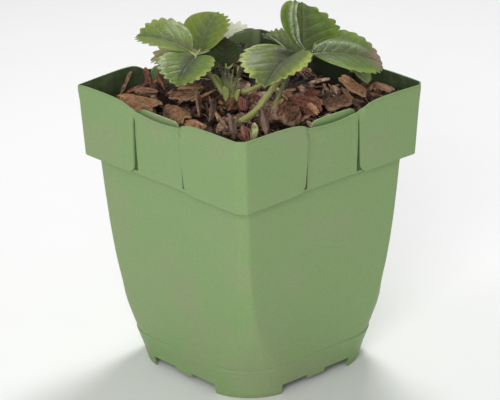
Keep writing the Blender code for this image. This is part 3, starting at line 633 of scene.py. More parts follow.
def pot_material(patterns):
    material, tree, shader = new_material("pot_plastic", Roughness=0.5, Specular_IOR_Level=0.35)
    place = place_in_object(tree)
    face = add_group(tree, patterns["stain"], Vector=place, Clean=(0.228, 0.35, 0.136, 1),
                     Stained=(0.3, 0.335, 0.19, 1), Patch_Scale=34.0, Grain_Scale=1400.0, Amount=0.55)
    uneven = spread(tree, noise(tree, place, 160.0, 5.0, 0.65), 0.2, 0.7, 0.75, 1.0)
    # Painted shade inside the pot and in the recess slots, with dust on the lip, turns the colour towards a
    # deep green.
    shade_dust_mix = times(tree, attribute(tree, "grime"), uneven)
    join(tree, shader, Base_Color=mix(tree, shade_dust_mix, face.outputs["Color"], (0.018, 0.028, 0.012)),
         Roughness=spread(tree, face.outputs["Patches"], 0.0, 1.0, 0.46, 0.6),
         Normal=bump(tree, face.outputs["Grain"], 0.25, 0.06))
    return material


def leaf_material(patterns, name, colours, roughness, dapple):
    """A leaflet or sheath, from the colours of its blade, centre, margin, veins and underside."""
    material, tree, shader = new_material(
        name, Roughness=roughness, Specular_IOR_Level=0.32, Sheen_Weight=0.03, Sheen_Roughness=0.4,
        Coat_Weight=0.1, Coat_Roughness=0.2,
    )
    blade, centre, margin, vein, under = ((*colour, 1) for colour in colours)
    face = add_group(tree, patterns["leaf"], Blade=blade, Centre=centre, Margin=margin, Vein=vein,
                     Under=under, Dapple=dapple)
    rough = spread(tree, face.outputs["Gloss"], 0.0, 1.0, roughness + 0.2, roughness)
    join(tree, shader, Base_Color=face.outputs["Color"], Roughness=rough,
         Normal=bump(tree, face.outputs["Height"], 0.7, 0.16))
    return material


def stalk_material(name, low, high):
    """A stalk whose colour runs from low at its foot to high at its end, with darker streaks along it."""
    material, tree, shader = new_material(name, Roughness=0.45, Sheen_Weight=0.2)
    stretched = node(tree, "ShaderNodeMapping", {"Vector": place_on_surface(tree), "Scale": (0.15, 1.2, 1.0)})
    streaks = noise(tree, stretched.outputs["Vector"], 1.6, 4.0, 0.6)
    wavering = times(tree, maths(tree, "SUBTRACT", streaks, 0.5), 0.5)
    height = maths(tree, "ADD", attribute(tree, "along"), wavering)
    colour = mix(tree, spread(tree, height, 0.05, 0.8), low, high)
    darker = mix(tree, 1.0, colour, (0.6, 0.62, 0.5), "MULTIPLY")
    join(tree, shader, Base_Color=mix(tree, spread(tree, streaks, 0.45, 0.7, 0.0, 0.6), colour, darker),
         Normal=bump(tree, streaks, 0.5, 0.15))
    return material


def bark_material(patterns, name, light, dark, edge, worn):
    material, tree, shader = new_material(name, Roughness=0.82, Specular_IOR_Level=0.3)
    face = add_group(tree, patterns["bark"], Vector=place_on_surface(tree), Light=(*light, 1),
                     Dark=(*dark, 1), Edge=(*edge, 1), Worn=worn)
    join(tree, shader, Base_Color=face.outputs["Color"], Normal=bump(tree, face.outputs["Height"], 0.9, 0.5))
    return material


def mixed_bark_material():
    """Small chips of every colour: each chip's own number picks a place on the ramp."""
    material, tree, shader = new_material("bark_mixed", Roughness=0.7, Specular_IOR_Level=0.35)
    ramp = node(tree, "ShaderNodeValToRGB", {"Fac": attribute(tree, "tone")})
    stops = ((0.0, (0.014, 0.009, 0.007)), (0.3, (0.05, 0.027, 0.018)), (0.5, (0.12, 0.06, 0.038)),
             (0.68, (0.25, 0.125, 0.075)), (0.85, (0.4, 0.235, 0.145)), (1.0, (0.62, 0.44, 0.29)))
    for _ in stops[2:]:
        ramp.color_ramp.elements.new(0.5)
    for element, (position, colour) in zip(ramp.color_ramp.elements, stops):
        element.position = position
        element.color = (*colour, 1.0)
    colour = ramp.outputs["Color"]
    flecks = noise(tree, place_in_object(tree), 520.0, 5.0, 0.65)
    darker = mix(tree, 1.0, colour, (0.35, 0.31, 0.29), "MULTIPLY")
    join(tree, shader, Base_Color=mix(tree, spread(tree, flecks, 0.4, 0.62), darker, colour),
         Normal=bump(tree, flecks, 0.9, 0.4))
    return material


def patchy_material(patterns, name, clean, stained, patch_scale, roughness):
    """Soil, crown, bud or hair: patchy colour and a grainy surface."""
    material, tree, shader = new_material(name, Roughness=roughness, Specular_IOR_Level=0.3)
    face = add_group(tree, patterns["stain"], Vector=place_in_object(tree), Clean=(*clean, 1),
                     Stained=(*stained, 1), Patch_Scale=patch_scale, Grain_Scale=patch_scale * 5.0,
                     Amount=1.0)
    join(tree, shader, Base_Color=face.outputs["Color"], Normal=bump(tree, face.outputs["Grain"], 0.8, 0.3))
    return material


def make_materials():
    patterns = {"stain": stain_group(), "leaf": leaf_group(), "bark": bark_group()}
    made = {"pot": pot_material(patterns), "bark_mixed": mixed_bark_material()}
    for name, (*colours, roughness, dapple) in LEAF_COLOURS.items():
        made[name] = leaf_material(patterns, name, colours, roughness, dapple)
    for name, (low, high) in STALK_COLOURS.items():
        made[name] = stalk_material(name, low, high)
    for name, (light, dark, edge, worn) in BARK_COLOURS.items():
        made[name] = bark_material(patterns, name, light, dark, edge, worn)
    for name, values in PATCHY_COLOURS.items():
        made[name] = patchy_material(patterns, name, *values)
    return made


# ---------------------------------------------------------------- pot


def side_stations():
    """Distances from the middle of a side, close together where the recess steps and the rim rises."""
    step = RECESS_HALF_WIDTH + RECESS_STEP
    groove = RECESS_HALF_WIDTH - GROOVE_WIDTH
    near = [*np.linspace(0.0, PANEL_EDGE - 0.6, 9), PANEL_EDGE - 0.3, PANEL_EDGE + 0.3, PANEL_EDGE + 1.2]
    edge = [groove, groove + 0.12, RECESS_HALF_WIDTH - 0.12, RECESS_HALF_WIDTH]
    edge += [step - 0.15, step - 0.05, step]
    return [*near, *edge, *np.linspace(step + 0.5, 23.0, 12), *np.linspace(25.0, SIDE_STRAIGHT, 12)]


STATIONS = side_stations()


def recess_profile(t, step):
    """How far the recess is set in at distance t from the middle of its side, as a share of its depth."""
    groove = RECESS_HALF_WIDTH - GROOVE_WIDTH
    panel = 1.0 - PANEL_STEP * smooth_step((t - PANEL_EDGE + 0.3) / 0.6) / RECESS_DEPTH
    deep = GROOVE_DEPTH / RECESS_DEPTH * smooth_step((t - groove) / 0.12)
    wall = 1.0 - smooth_step((t - RECESS_HALF_WIDTH + 0.02) / step)
    return (panel + deep) * wall


def corner_curve(corner):
    """A quarter turn of a wall, as shares of the corner's reach.

    A small corner is a flat facet and a big one is an arc.
    """
    place = np.linspace(0.0, 1.0, 57)
    facet = 45.0 * (smooth_step(place / 0.32) + smooth_step((place - 0.68) / 0.32))
    share = 1.0 - smooth_step((corner - FACET_BELOW) / 5.0)
    heading = np.radians(share * facet + (1.0 - share) * 90.0 * place)
    steps = np.stack([np.cos(heading), np.sin(heading)])
    middle = (steps[:, 1:] + steps[:, :-1]) / 2.0
    reach = np.concatenate([np.zeros((2, 1)), np.cumsum(middle, axis=1)], axis=1)
    reach /= reach[:, -1:]
    picked = np.round(np.arange(1, ARC_STEPS) * 56 / ARC_STEPS).astype(int)
    return reach[0, picked], reach[1, picked]


def square_ring(half, corner, recess=0.0, widened=0.0, step=RECESS_STEP):
    """A rounded square, anticlockwise from above: points across the pot and distances from a side's middle.

    The recess is set in by recess, and its edges are moved out along the side by widened.
    """
    straight = half - corner
    along = np.array([-t for t in reversed(STATIONS[1:])] + STATIONS)
    turned, aside = corner_curve(corner)
    inset = np.concatenate([recess * recess_profile(np.abs(along), step), np.zeros(len(turned))])
    carried = smooth_step((np.abs(along) - 9.0) / 4.0) * (1.0 - smooth_step((np.abs(along) - 16.0) / 10.0))
    moved = along + np.sign(along) * widened * carried
    x = np.concatenate([moved * straight / SIDE_STRAIGHT, straight + corner * turned])
    y = inset + np.concatenate([np.full(len(along), -half), aside * corner - half])
    t = np.concatenate([np.abs(along), np.full(len(turned), SIDE_STRAIGHT)])
    places = []
    for side in range(4):
        cos, sin = (1, 0, -1, 0)[side], (0, 1, 0, -1)[side]
        places.append(np.stack([x * cos - y * sin, x * sin + y * cos], axis=1))
    return np.concatenate(places), np.tile(t, 4)


def rim_height(t):
    """Height of the rim's edge at distance t from the middle of a side."""
    scallop = RIM_SCALLOP_DROP * (1.0 - (t / RECESS_HALF_WIDTH) ** 2)
    inside = POT_HEIGHT - RIM_SHOULDER_DROP - np.maximum(scallop, 0.0)
    rise = 1.0 - np.exp(-np.maximum(t - RECESS_HALF_WIDTH, 0.0) / RIM_SHOULDER_WIDTH)
    return np.where(t <= RECESS_HALF_WIDTH, inside, POT_HEIGHT - RIM_SHOULDER_DROP * (1.0 - rise))


def level(half, corner, height, recess=0.0, widened=0.0):
    ring, _ = square_ring(half, corner, recess, widened)
    return np.column_stack([ring, np.full(len(ring), height)])


def inset_level(half, corner, height, inset, recess=0.0):
    return level(half - inset, corner - inset, height, recess)


def rim_level(inward, drop, bead=0.0):
    """A line along the rim: inward of its outer face, and set in further by bead within the recess."""
    ring, t = square_ring(RIM_HALF - inward, RIM_CORNER - inward, RECESS_DEPTH, step=RIM_STEP)
    ring *= 1.0 - (bead * (t < RECESS_HALF_WIDTH - GROOVE_WIDTH) / RIM_HALF)[:, None]
    x, y = ring.T
    from_left, from_back = x + RIM_HALF, RIM_HALF - y
    dip = LOW_CORNER_DIP * np.clip(1.0 - (y + RIM_HALF) / LOW_CORNER_LENGTH, 0.0, 1.0)
    dip = dip * np.exp(-from_left / LOW_CORNER_WIDTH)
    dip = dip + CORNER_DIP * np.exp(-(from_back + RIM_HALF - x) / CORNER_DIP_WIDTH)
    dip = dip + CORNER_DIP * np.exp(-(from_left + from_back) / CORNER_DIP_WIDTH)
    return np.column_stack([ring, rim_height(t) - drop - dip])


def wall_section(height):
    """Half side and corner radius of the outer wall, with the bends between the sections eased."""
    heights, halves, corners = (np.array(column)[::-1] for column in zip(*BODY_SECTIONS))
    reach = min(BODY_SMOOTHING, heights[-1] - height, height - heights[0])
    near = height + np.linspace(-reach, reach, 9)
    return np.interp(near, heights, halves).mean(), np.interp(near, heights, corners).mean()


def collar_half(height):
    part = (height - COLLAR_BOTTOM) / (POT_HEIGHT - COLLAR_BOTTOM)
    return COLLAR_BOTTOM_HALF + (RIM_HALF - COLLAR_BOTTOM_HALF) * part


def droop(line, height):
    """How far the collar's lower edge hangs down, most at the face with the least y."""
    low = 0.25 + 0.75 * smooth_step((-10.0 - line[:, 1]) / 40.0)
    return COLLAR_DROOP * low * (1.0 - smooth_step((height - COLLAR_BOTTOM) / 18.0))


def collar_level(height):
    """A line round the collar, where the recess widens towards the bottom in a rounded corner."""
    above = min(height - COLLAR_BOTTOM, FLANGE_ROUNDING)
    widened = FLANGE_ROUNDING - math.sqrt(FLANGE_ROUNDING**2 - (FLANGE_ROUNDING - above) ** 2)
    spread_out = RECESS_SPREAD * (RIM_STRAIGHT_FROM - height)
    line = level(collar_half(height), RIM_CORNER, height, RECESS_DEPTH, widened + spread_out)
    line[:, 2] -= droop(line, height)
    return line


def foot_levels():
    """Rings from the floor's underside, round the drain ring and up the outside of the foot."""
    (top_z, top_half, top_corner), (mid_z, mid_half, mid_corner), (_, foot_half, foot_corner) = FOOT_SECTIONS
    ring = (foot_half - DRAIN_RING_INSET, foot_corner - DRAIN_RING_INSET)
    levels = [
        inset_level(*ring, FLOOR_UNDERSIDE, WALL),
        inset_level(*ring, DRAIN_RING_BOTTOM, WALL),
        level(*ring, DRAIN_RING_BOTTOM),
        level(*ring, FLOOR_UNDERSIDE),
        inset_level(foot_half + 1.0, foot_corner, FLOOR_UNDERSIDE, WALL),
        inset_level(foot_half, foot_corner, 0.0, WALL),
        inset_level(foot_half, foot_corner, 0.0, 0.15),
        level(foot_half + 0.02, foot_corner, 0.15),
    ]
    for height in (2.5, 5.0, mid_z, 11.0, 13.6):
        above = height > mid_z
        share = abs((height - mid_z) / (top_z - mid_z) if above else height / mid_z - 1.0)
        end_half, end_corner = (top_half, top_corner) if above else (foot_half, foot_corner)
        half = mid_half + (end_half - mid_half) * share
        levels.append(level(half, mid_corner + (end_corner - mid_corner) * share, height))
    levels.append(level(top_half - 0.05, top_corner, top_z - 0.15))
    levels.append(level(top_half - 0.12, top_corner, top_z + 0.05))
    return levels


def body_levels():
    """Rings up the outside of the body to the underside of the collar."""
    low_z, low_half, low_corner = BODY_SECTIONS[-1]
    levels = [level(low_half + 0.08, low_corner, low_z - 0.1)]
    for height in np.linspace(low_z, COLLAR_BOTTOM, round((COLLAR_BOTTOM - low_z) / BODY_STEP)):
        levels.append(level(*wall_section(height), height))
    widest = FLANGE_ROUNDING + RECESS_SPREAD * (RIM_STRAIGHT_FROM - COLLAR_BOTTOM)
    under = level(COLLAR_BOTTOM_HALF - 0.3, RIM_CORNER - 0.3, COLLAR_BOTTOM, RECESS_DEPTH, widest)
    under[:, 2] -= droop(under, COLLAR_BOTTOM)
    return [*levels, under]


def lip_levels():
    """Rings over the lip, by how far inward, how far below the rim's edge and how far set in by the bead."""
    return [rim_level(*line) for line in (
        (0.0, BEAD_HEIGHT + 0.6, BEAD_DEPTH), (0.0, BEAD_HEIGHT, BEAD_DEPTH), (0.0, BEAD_HEIGHT - 0.2),
        (0.0, LIP_DROP), (0.15, 0.1), (WALL / 2, 0.0), (WALL - 0.15, 0.1), (WALL, LIP_DROP))]


def inner_levels():
    """Rings down the inside, over the ledge behind the collar, to the floor."""
    shelf = COLLAR_BOTTOM + LEDGE_THICKNESS
    levels = [inset_level(collar_half(height), RIM_CORNER, height, WALL, RECESS_DEPTH)
              for height in (121.0, 115.0, 108.0, shelf)]
    levels.append(inset_level(*BODY_SECTIONS[0][1:], shelf, WALL))
    levels += [inset_level(*wall_section(height), height, WALL) for height in (80.0, 50.0, 30.0, 20.0, 16.0)]
    return [*levels, inset_level(*FOOT_SECTIONS[1][1:], FLOOR_TOP, WALL)]


def pot_levels():
    """Rings from the underside, up the outside and over the lip to the floor inside, and the lip's place."""
    levels = foot_levels() + body_levels()
    levels += [collar_level(height) for height in COLLAR_HEIGHTS]
    levels += lip_levels()
    return levels + inner_levels(), len(levels) - 1


def flap_mesh(side, aside, top):
    """A label flap: a slanted tongue with rounded upper corners, standing on the collar's ledge."""
    columns, rows = 25, 13
    u = np.linspace(-1.0, 1.0, columns)[None, :]
    v = np.linspace(0.0, 1.0, rows)[:, None]
    round_off = 2.4 * np.abs(u) ** 14 + 0.2 * u**2
    bottom = COLLAR_BOTTOM + LEDGE_THICKNESS / 2
    z = bottom + (top - round_off - bottom) * v
    x = u * FLAP_HALF_WIDTH + aside + 0.0 * v
    part = (z - bottom) / (FLAP_TOP - bottom)
    outward = FLAP_BOTTOM_HALF + (FLAP_TOP_HALF - FLAP_BOTTOM_HALF) * part
    sheets = [np.stack([x, -outward + depth, z], axis=-1).reshape(-1, 3) for depth in (0.0, FLAP_THICKNESS)]
    turn = np.array(Matrix.Rotation(side * math.pi / 2, 3, "Z"))
    points = np.concatenate(sheets) @ turn.T
    faces = two_sided_faces(rows, columns)
    return points, [face[::-1] for face in faces]


def cut_tool(name, bm):
    """A closed helper mesh, in millimetres, for a Boolean."""
    bmesh.ops.recalc_face_normals(bm, faces=bm.faces)
    bmesh.ops.scale(bm, vec=(MM, MM, MM), verts=bm.verts)
    mesh = bpy.data.meshes.new(name)
    bm.to_mesh(mesh)
    bm.free()
    return bpy.data.objects.new(name, mesh)


def foot_cutter():
    half = FOOT_SECTIONS[-1][1]
    outline = [(-FOOT_OPENING_TO, -1.0), (FOOT_OPENING_TO, -1.0), (FOOT_OPENING_TO, FOOT_OPENING_TOP),
               (FOOT_OPENING_FROM, FOOT_OPENING_TOP), (FOOT_OPENING_FROM, FOOT_TAB_BOTTOM),
               (-FOOT_OPENING_FROM, FOOT_TAB_BOTTOM), (-FOOT_OPENING_FROM, FOOT_OPENING_TOP),
               (-FOOT_OPENING_TO, FOOT_OPENING_TOP)]
    bm = bmesh.new()
    for side in range(4):
        face = bm.faces.new([bm.verts.new((x, -half - 2.0, z)) for x, z in outline])
        pushed = bmesh.ops.extrude_face_region(bm, geom=[face])
        deep = [v for v in pushed["geom"] if isinstance(v, bmesh.types.BMVert)]
        bmesh.ops.translate(bm, vec=(0.0, 2.0 + (DRAIN_RING_INSET + WALL) / 2, 0.0), verts=deep)
        turn = Matrix.Rotation(side * math.pi / 2, 3, "Z")
        bmesh.ops.rotate(bm, matrix=turn, verts=list(face.verts) + deep)
    return cut_tool("foot_tool", bm)


def drain_cutter():
    bm = bmesh.new()
    spread_out = DRAIN_HOLE_SPREAD
    middle = (FLOOR_TOP + FLOOR_UNDERSIDE) / 2
    places = [(0.0, 0.0)] + [(x, y) for x in (-spread_out, spread_out) for y in (-spread_out, spread_out)]
    for x, y in places:
        bmesh.ops.create_cone(bm, cap_ends=True, segments=40, radius1=DRAIN_HOLE_RADIUS,
                              radius2=DRAIN_HOLE_RADIUS, depth=DRAIN_CUT_DEPTH,
                              matrix=Matrix.Translation((x, y, middle)))
    return cut_tool("drain_tool", bm)


def grime(points, inside, t):
    """Painted shade with some soil dust inside the pot, and painted shade in the slots beside the recess,
    less in those next to the front corner.
    """
    x, y, z = points.T
    # A painted lit patch: less painted shade on the inner wall at the least x, towards the back corner.
    clean = np.clip(1.0 - np.abs(y - LIT_PATCH_MIDDLE) / LIT_PATCH_LENGTH, 0.0, 1.0)
    clean = clean * (1.0 - smooth_step((x - LIT_PATCH_WALL) / 2.0))
    inner_shade = INNER_PAINTED_SHADE - LIT_PATCH_AMOUNT * smooth_step(clean * 1.8)
    slot = (np.abs(t - RECESS_HALF_WIDTH + 0.15) < 0.2) & (z > COLLAR_BOTTOM + 0.8) & (z < RIM_STRAIGHT_FROM)
    by_front_corner = x - y > RIM_HALF
    return np.where(inside, inner_shade, np.where(by_front_corner, CORNER_SLOT_PAINTED_SHADE, SLOT_PAINTED_SHADE) * slot)


def pot_skin(levels):
    """Points and faces over the pot's rings: the fan under it comes before the fan on its floor."""
    count = len(levels[0])
    middle = len(levels) * count
    points = np.concatenate([*levels, [levels[0].mean(axis=0), levels[-1].mean(axis=0)]])
    faces = ring_faces(len(levels), count)
    for end, first, order in ((middle, 0, -1), (middle + 1, middle - count, 1)):
        for i in range(count):
            edge = (first + i, first + (i + 1) % count)
            faces.append((*edge[::order], end))
    return points, faces


def make_pot(materials):
    levels, lip = pot_levels()
    count = len(levels[0])
    points, faces = pot_skin(levels)
    inside = np.arange(len(points)) >= lip * count
    t = square_ring(RIM_HALF, RIM_CORNER)[1]
    shade_and_dust = grime(points, inside, np.append(np.tile(t, len(levels)), [0.0, 0.0]))
    shade_and_dust[(lip - 2) * count:lip * count] = LIP_DUST
    pot = piece("pot_moulding", points, faces, materials["pot"], "pot_green", ["pot"], {"grime": shade_and_dust})
    for tool in (foot_cutter(), drain_cutter()):
        bpy.context.scene.collection.objects.link(tool)
        cut = pot.modifiers.new("cut", "BOOLEAN")
        cut.object, cut.operation, cut.solver = tool, "DIFFERENCE", "EXACT"
        apply_modifiers(pot)
        bpy.data.objects.remove(tool)
    pot.data.set_sharp_from_angle(angle=math.radians(POT_SHARP_FROM))
    for side, (word, aside, top) in enumerate(FLAP_PLACES):
        flap_points, flap_faces = flap_mesh(side, aside, top)
        # The flap at the back right gets painted shade.
        shade_and_dust = FLAP_PAINTED_SHADE if word == "back_right" else 0.0
        piece(f"label_flap_{word}", flap_points, flap_faces, materials["pot"], "pot_green",
              attributes={"grime": np.full(len(flap_points), shade_and_dust)}, sharp=POT_SHARP_FROM)


def apply_modifiers(obj):
    """Replaces the object's mesh with the one that its modifiers make."""
    graph = bpy.context.evaluated_depsgraph_get()
    graph.update()
    mesh = bpy.data.meshes.new_from_object(obj.evaluated_get(graph))
    obj.modifiers.clear()
    obj.data = mesh


# ---------------------------------------------------------------- leaves


def margin_width(x):
    widest = BASE_POWER / (BASE_POWER + TIP_POWER)
    greatest = widest**BASE_POWER * (1.0 - widest) ** TIP_POWER
    return x**BASE_POWER * np.maximum(1.0 - x, 0.0) ** TIP_POWER / greatest


def direction(heading, pitch):
    h, p = np.radians(heading), np.radians(pitch)
    flat = np.cos(p)
    return np.stack([np.cos(h) * flat, np.sin(h) * flat, np.sin(p) + 0.0 * flat], axis=-1)


def blade_points(values, along, across, steps=40):
    """Points and normals of a folded, bent blade: along in lengths of the midrib, across to its left."""
    base, heading, pitch, roll, length, _, fold, bend, _, curl = values
    middles = pitch - bend * (np.arange(steps) + 0.5) / steps
    rib = np.concatenate([[base], base + np.cumsum(direction(heading, middles), axis=0) * length / steps])
    place = along * steps
    i = np.clip(place.astype(int), 0, steps - 1)
    part = (place - i)[..., None]
    on_rib = rib[i] * (1.0 - part) + rib[i + 1] * part
    left = direction(heading + 90.0, 0.0)
    up = direction(heading, pitch - bend * place / steps + 90.0)
    turn = math.radians(roll)
    side = left * math.cos(turn) + up * math.sin(turn)
    normal = up * math.cos(turn) - left * math.sin(turn)
    start = math.radians(fold)
    reach, sign = np.abs(across), np.sign(across)
    angle = start - curl * reach
    if curl:
        outward = (math.sin(start) - np.sin(angle)) / curl
        raised = (np.cos(angle) - math.cos(start)) / curl
    else:
        outward, raised = reach * math.cos(start), reach * math.sin(start)
    points = on_rib + side * (sign * outward)[..., None] + normal * raised[..., None]
    normals = normal * np.cos(angle)[..., None] - side * (sign * np.sin(angle))[..., None]
    return points, normals


def tooth_profile(phase):
    """Height of the toothed margin, 0 in a notch and 1 at a tip; the teeth lean towards the leaf's tip."""
    before = 1.0 - ((TOOTH_PEAK - phase) / TOOTH_PEAK).clip(0.0) ** 1.9
    after = 1.0 - ((phase - TOOTH_PEAK) / (1.0 - TOOTH_PEAK)).clip(0.0) ** 1.4
    return np.where(phase < TOOTH_PEAK, before, after)


def blade_teeth(node_name, chance, s, v, width, teeth, depth):
    """How far the margin's teeth stand out, and each place's phase within a tooth."""
    phase = (teeth * (s - 1.0) + TOOTH_PEAK) % 1.0
    size = smooth_step((s - 0.12) / 0.2) * np.clip(width / 20.0, 0.5, 1.0)
    uneven = 1.0 + 0.25 * ripples(chance, 3, 6.0, 16.0)(s, np.sign(v))
    outward = (tooth_profile(phase) - TOOTH_INSIDE) * depth * size * uneven
    outward = outward * np.abs(v) ** (7.0 * (1.0 - s**8))
    bare_side, bare_to = SMOOTH_MARGINS.get(node_name, (0.0, 0.0))
    return outward * np.where(v * bare_side > 0.0, smooth_step((s - bare_to) / 0.1), 1.0), phase


def blade_relief(node_name, chance, s, v, half, wavering):
    """Heights of the pillows, waves, midrib furrow and pleats, and the painted highlight on the pleats."""
    reach = np.abs(v)
    between = np.abs(np.sin(math.pi * (wavering - TOOTH_PEAK))) ** 0.8
    between *= 0.75 + 0.45 * ripples(chance, 5, 4.0, 11.0)(s * 2.0, v)
    swell = (1.0 - np.exp(-7.0 * reach)) * (1.0 - 0.75 * reach**5) * np.minimum(1.0, half / 4.0)
    relief = PILLOWS.get(node_name, PILLOW_DEPTH) * between * swell
    relief += 0.35 * ripples(chance, 4, 2.0, 6.0)(s, v) * reach**2 * np.minimum(1.0, half / 6.0)
    relief -= 0.25 * np.exp(-((reach * half / 0.5) ** 2)) * np.minimum(1.0, half / 2.0)
    bloom = np.zeros(s.shape)
    waver = ripples(chance, 4, 3.0, 9.0)
    for side, low, high, wide, height, fade, pale in PLEATS.get(node_name, ()):
        crest = np.exp(-(((v * side - low - (high - low) * s - 0.03 * waver(s * 3.0, v)) / wide) ** 2))
        crest *= np.minimum(1.0, half / 5.0) * smooth_step((fade - s) / 0.2)
        relief += height * crest
        bloom = np.maximum(bloom, pale * crest)
    return relief, bloom


def blade_veins(reach, half, wavering, spacing):
    side_vein = np.exp(-((np.abs((wavering - TOOTH_PEAK + 0.5) % 1.0 - 0.5) * spacing / 0.26) ** 2))
    midrib = np.exp(-((reach * half / 0.42) ** 2))
    return np.maximum(side_vein * (1.0 - 0.5 * reach) * np.minimum(1.0, reach * 8.0 + 0.5), midrib)


def make_blade(name, values, material, slot, node_name, teeth=TEETH, tooth_depth=TOOTH_DEPTH):
    """A leaflet, or a sheath when it has no teeth: s runs along it and v across it, from -1 to 1."""
    length, width, skew = values[4], values[5], values[8]
    chance = random.Random(node_name)
    rows, columns = (LEAF_ROWS, LEAF_COLUMNS) if teeth else (SHEATH_ROWS, SHEATH_COLUMNS)
    veins = teeth or SHEATH_VEINS
    s = np.linspace(0.0, 1.0, rows)[:, None] * np.ones((1, 2 * columns + 1))
    v = np.linspace(-1.0, 1.0, 2 * columns + 1)[None, :] * np.ones((rows, 1))
    v = np.sign(v) * np.abs(v) ** 0.9
    reach = np.abs(v)
    edge = s * (2.0 - s)
    middle = edge * (VEIN_START + (1.0 - VEIN_START) * edge**3.4)
    outward, phase = blade_teeth(node_name, chance, s, v, width, veins, tooth_depth * bool(teeth))
    slant = np.radians(22.0 + 68.0 * s**4)
    half = 0.5 * width * (1.0 + np.sign(v) * skew) * margin_width(edge)
    along = middle + (edge - middle) * reach**1.1 + outward * np.sin(slant) / length
    across = np.sign(v) * np.maximum(reach * half + outward * np.cos(slant), 0.0)
    points, normals = blade_points(values, along, across)
    wavering = phase + 0.16 * ripples(chance, 4, 2.0, 7.0)(s * 2.0, v) * (1.0 - reach**2)
    relief, bloom = blade_relief(node_name, chance, s, v, half, wavering)
    brown, from_place = WITHERED.get(node_name, (0.12, 0.9))
    withered = brown * smooth_step((s - from_place) / (1.02 - from_place)) * (0.4 + 0.6 * reach)
    withered = np.maximum(withered, 0.35 * smooth_step((reach - 0.95) / 0.05) * bool(teeth))
    vein = blade_veins(reach, half, wavering, length / veins)
    thin = LEAF_THICKNESS * (1.0 - 0.7 * reach**6)
    upper = points + normals * (relief + thin / 2)[..., None]
    lower = points + normals * (relief - thin / 2 - 0.3 * vein * (1.0 - reach))[..., None]
    sheets = np.concatenate([upper.reshape(-1, 3), lower.reshape(-1, 3)])
    faces = two_sided_faces(rows, 2 * columns + 1)
    flat = s.size
    fringe = smooth_step((reach - 0.96) / 0.04)
    facts = {
        "vein": np.tile(vein.ravel(), 2),
        "margin": np.tile(np.maximum(reach, s**6).ravel(), 2),
        "underside": np.repeat([0.0, 1.0], flat),
        "bloom": np.concatenate([bloom.ravel(), np.zeros(flat)]),
        "withered": np.tile(withered.ravel(), 2),
        "fringe": np.concatenate([fringe.ravel(), np.maximum(fringe, 0.12).ravel()]),
    }
    uv = np.tile(np.column_stack([(along * length).ravel(), across.ravel()]), (2, 1))
    return piece(name, sheets, faces, material, slot, [node_name], facts, uv, merge=0.004)


def make_leaves(materials):
    made = []
    for node_name, values in LEAFLETS.items():
        finish = OWN_FINISH.get(node_name, LEAF_FINISH[node_name[:6]])
        slot = LEAF_SLOTS.get(finish, "leaf_green")
        name = "blade_" + node_name.removeprefix("leaf_").replace("leaflet_", "")
        coarse = COARSE_TEETH.get(node_name, (TEETH, TOOTH_DEPTH))
        made.append(make_blade(name, values, materials[finish], slot, node_name, *coarse))
    for node_name, (base, heading, pitch, length, width) in STIPULES.items():
        shape = (base, heading, pitch, 0.0, length, width, 25.0, 10.0, 0.0, 0.0)
        make_blade("sheath_" + node_name.removeprefix("stipule_"), shape, materials["sheath"],
                   "stipule_green", node_name, teeth=0)
    return made


# ---------------------------------------------------------------- stalks, crown and buds


def smooth_path(points, steps):
    """Points on a Catmull-Rom curve through the given ones."""
    points = [np.array(p, float) for p in points]
    ends = [2 * points[0] - points[1], *points, 2 * points[-1] - points[-2]]
    path = []
    for a, b, c, d in zip(ends, ends[1:], ends[2:], ends[3:]):
        for step in range(steps):
            t = step / steps
            bend = (2 * a - 5 * b + 4 * c - d) * t**2 + (3 * b - a - 3 * c + d) * t**3
            path.append(0.5 * (2 * b + (c - a) * t + bend))
    return np.array([*path, points[-1]])


def tube(path, radii, sides=20, chance=None, lumps=0.05):
    """Rings round a path, with their ends closed, as points, faces, place along and UV."""
    count = len(path)
    tangents = unit(np.gradient(path, axis=0))
    across = unit(np.cross(tangents[0], (0.3, 0.9, 0.1)))
    rings, places, uvs = [], [], []
    rough = ripples(chance or random.Random(1), 5, 1.0, 3.0)
    length = 0.0
    for i in range(count):
        across = unit(across - tangents[i] * (across @ tangents[i]))
        other = np.cross(tangents[i], across)
        angle = np.linspace(0.0, 2.0 * math.pi, sides, endpoint=False)
        radius = radii[i] * (1.0 + lumps * rough(angle, length * 0.8) - 0.1 * (np.cos(angle) > 0.9))
        ring = path[i] + np.outer(np.cos(angle) * radius, across) + np.outer(np.sin(angle) * radius, other)
        rings.append(ring)
        places += [i / (count - 1)] * sides
        uvs += [(length, a) for a in np.abs(angle - math.pi) * radii[i]]
        length += np.linalg.norm(path[min(i + 1, count - 1)] - path[i])
    points, faces = closed_rings(rings, [path[0], path[-1]])
    return points, faces, np.array([*places, 0.0, 1.0]), np.array([*uvs, (0.0, 0.0), (length, 0.0)])


# The stalks' thickness as a share of the part's.
SLIMMER = 0.82
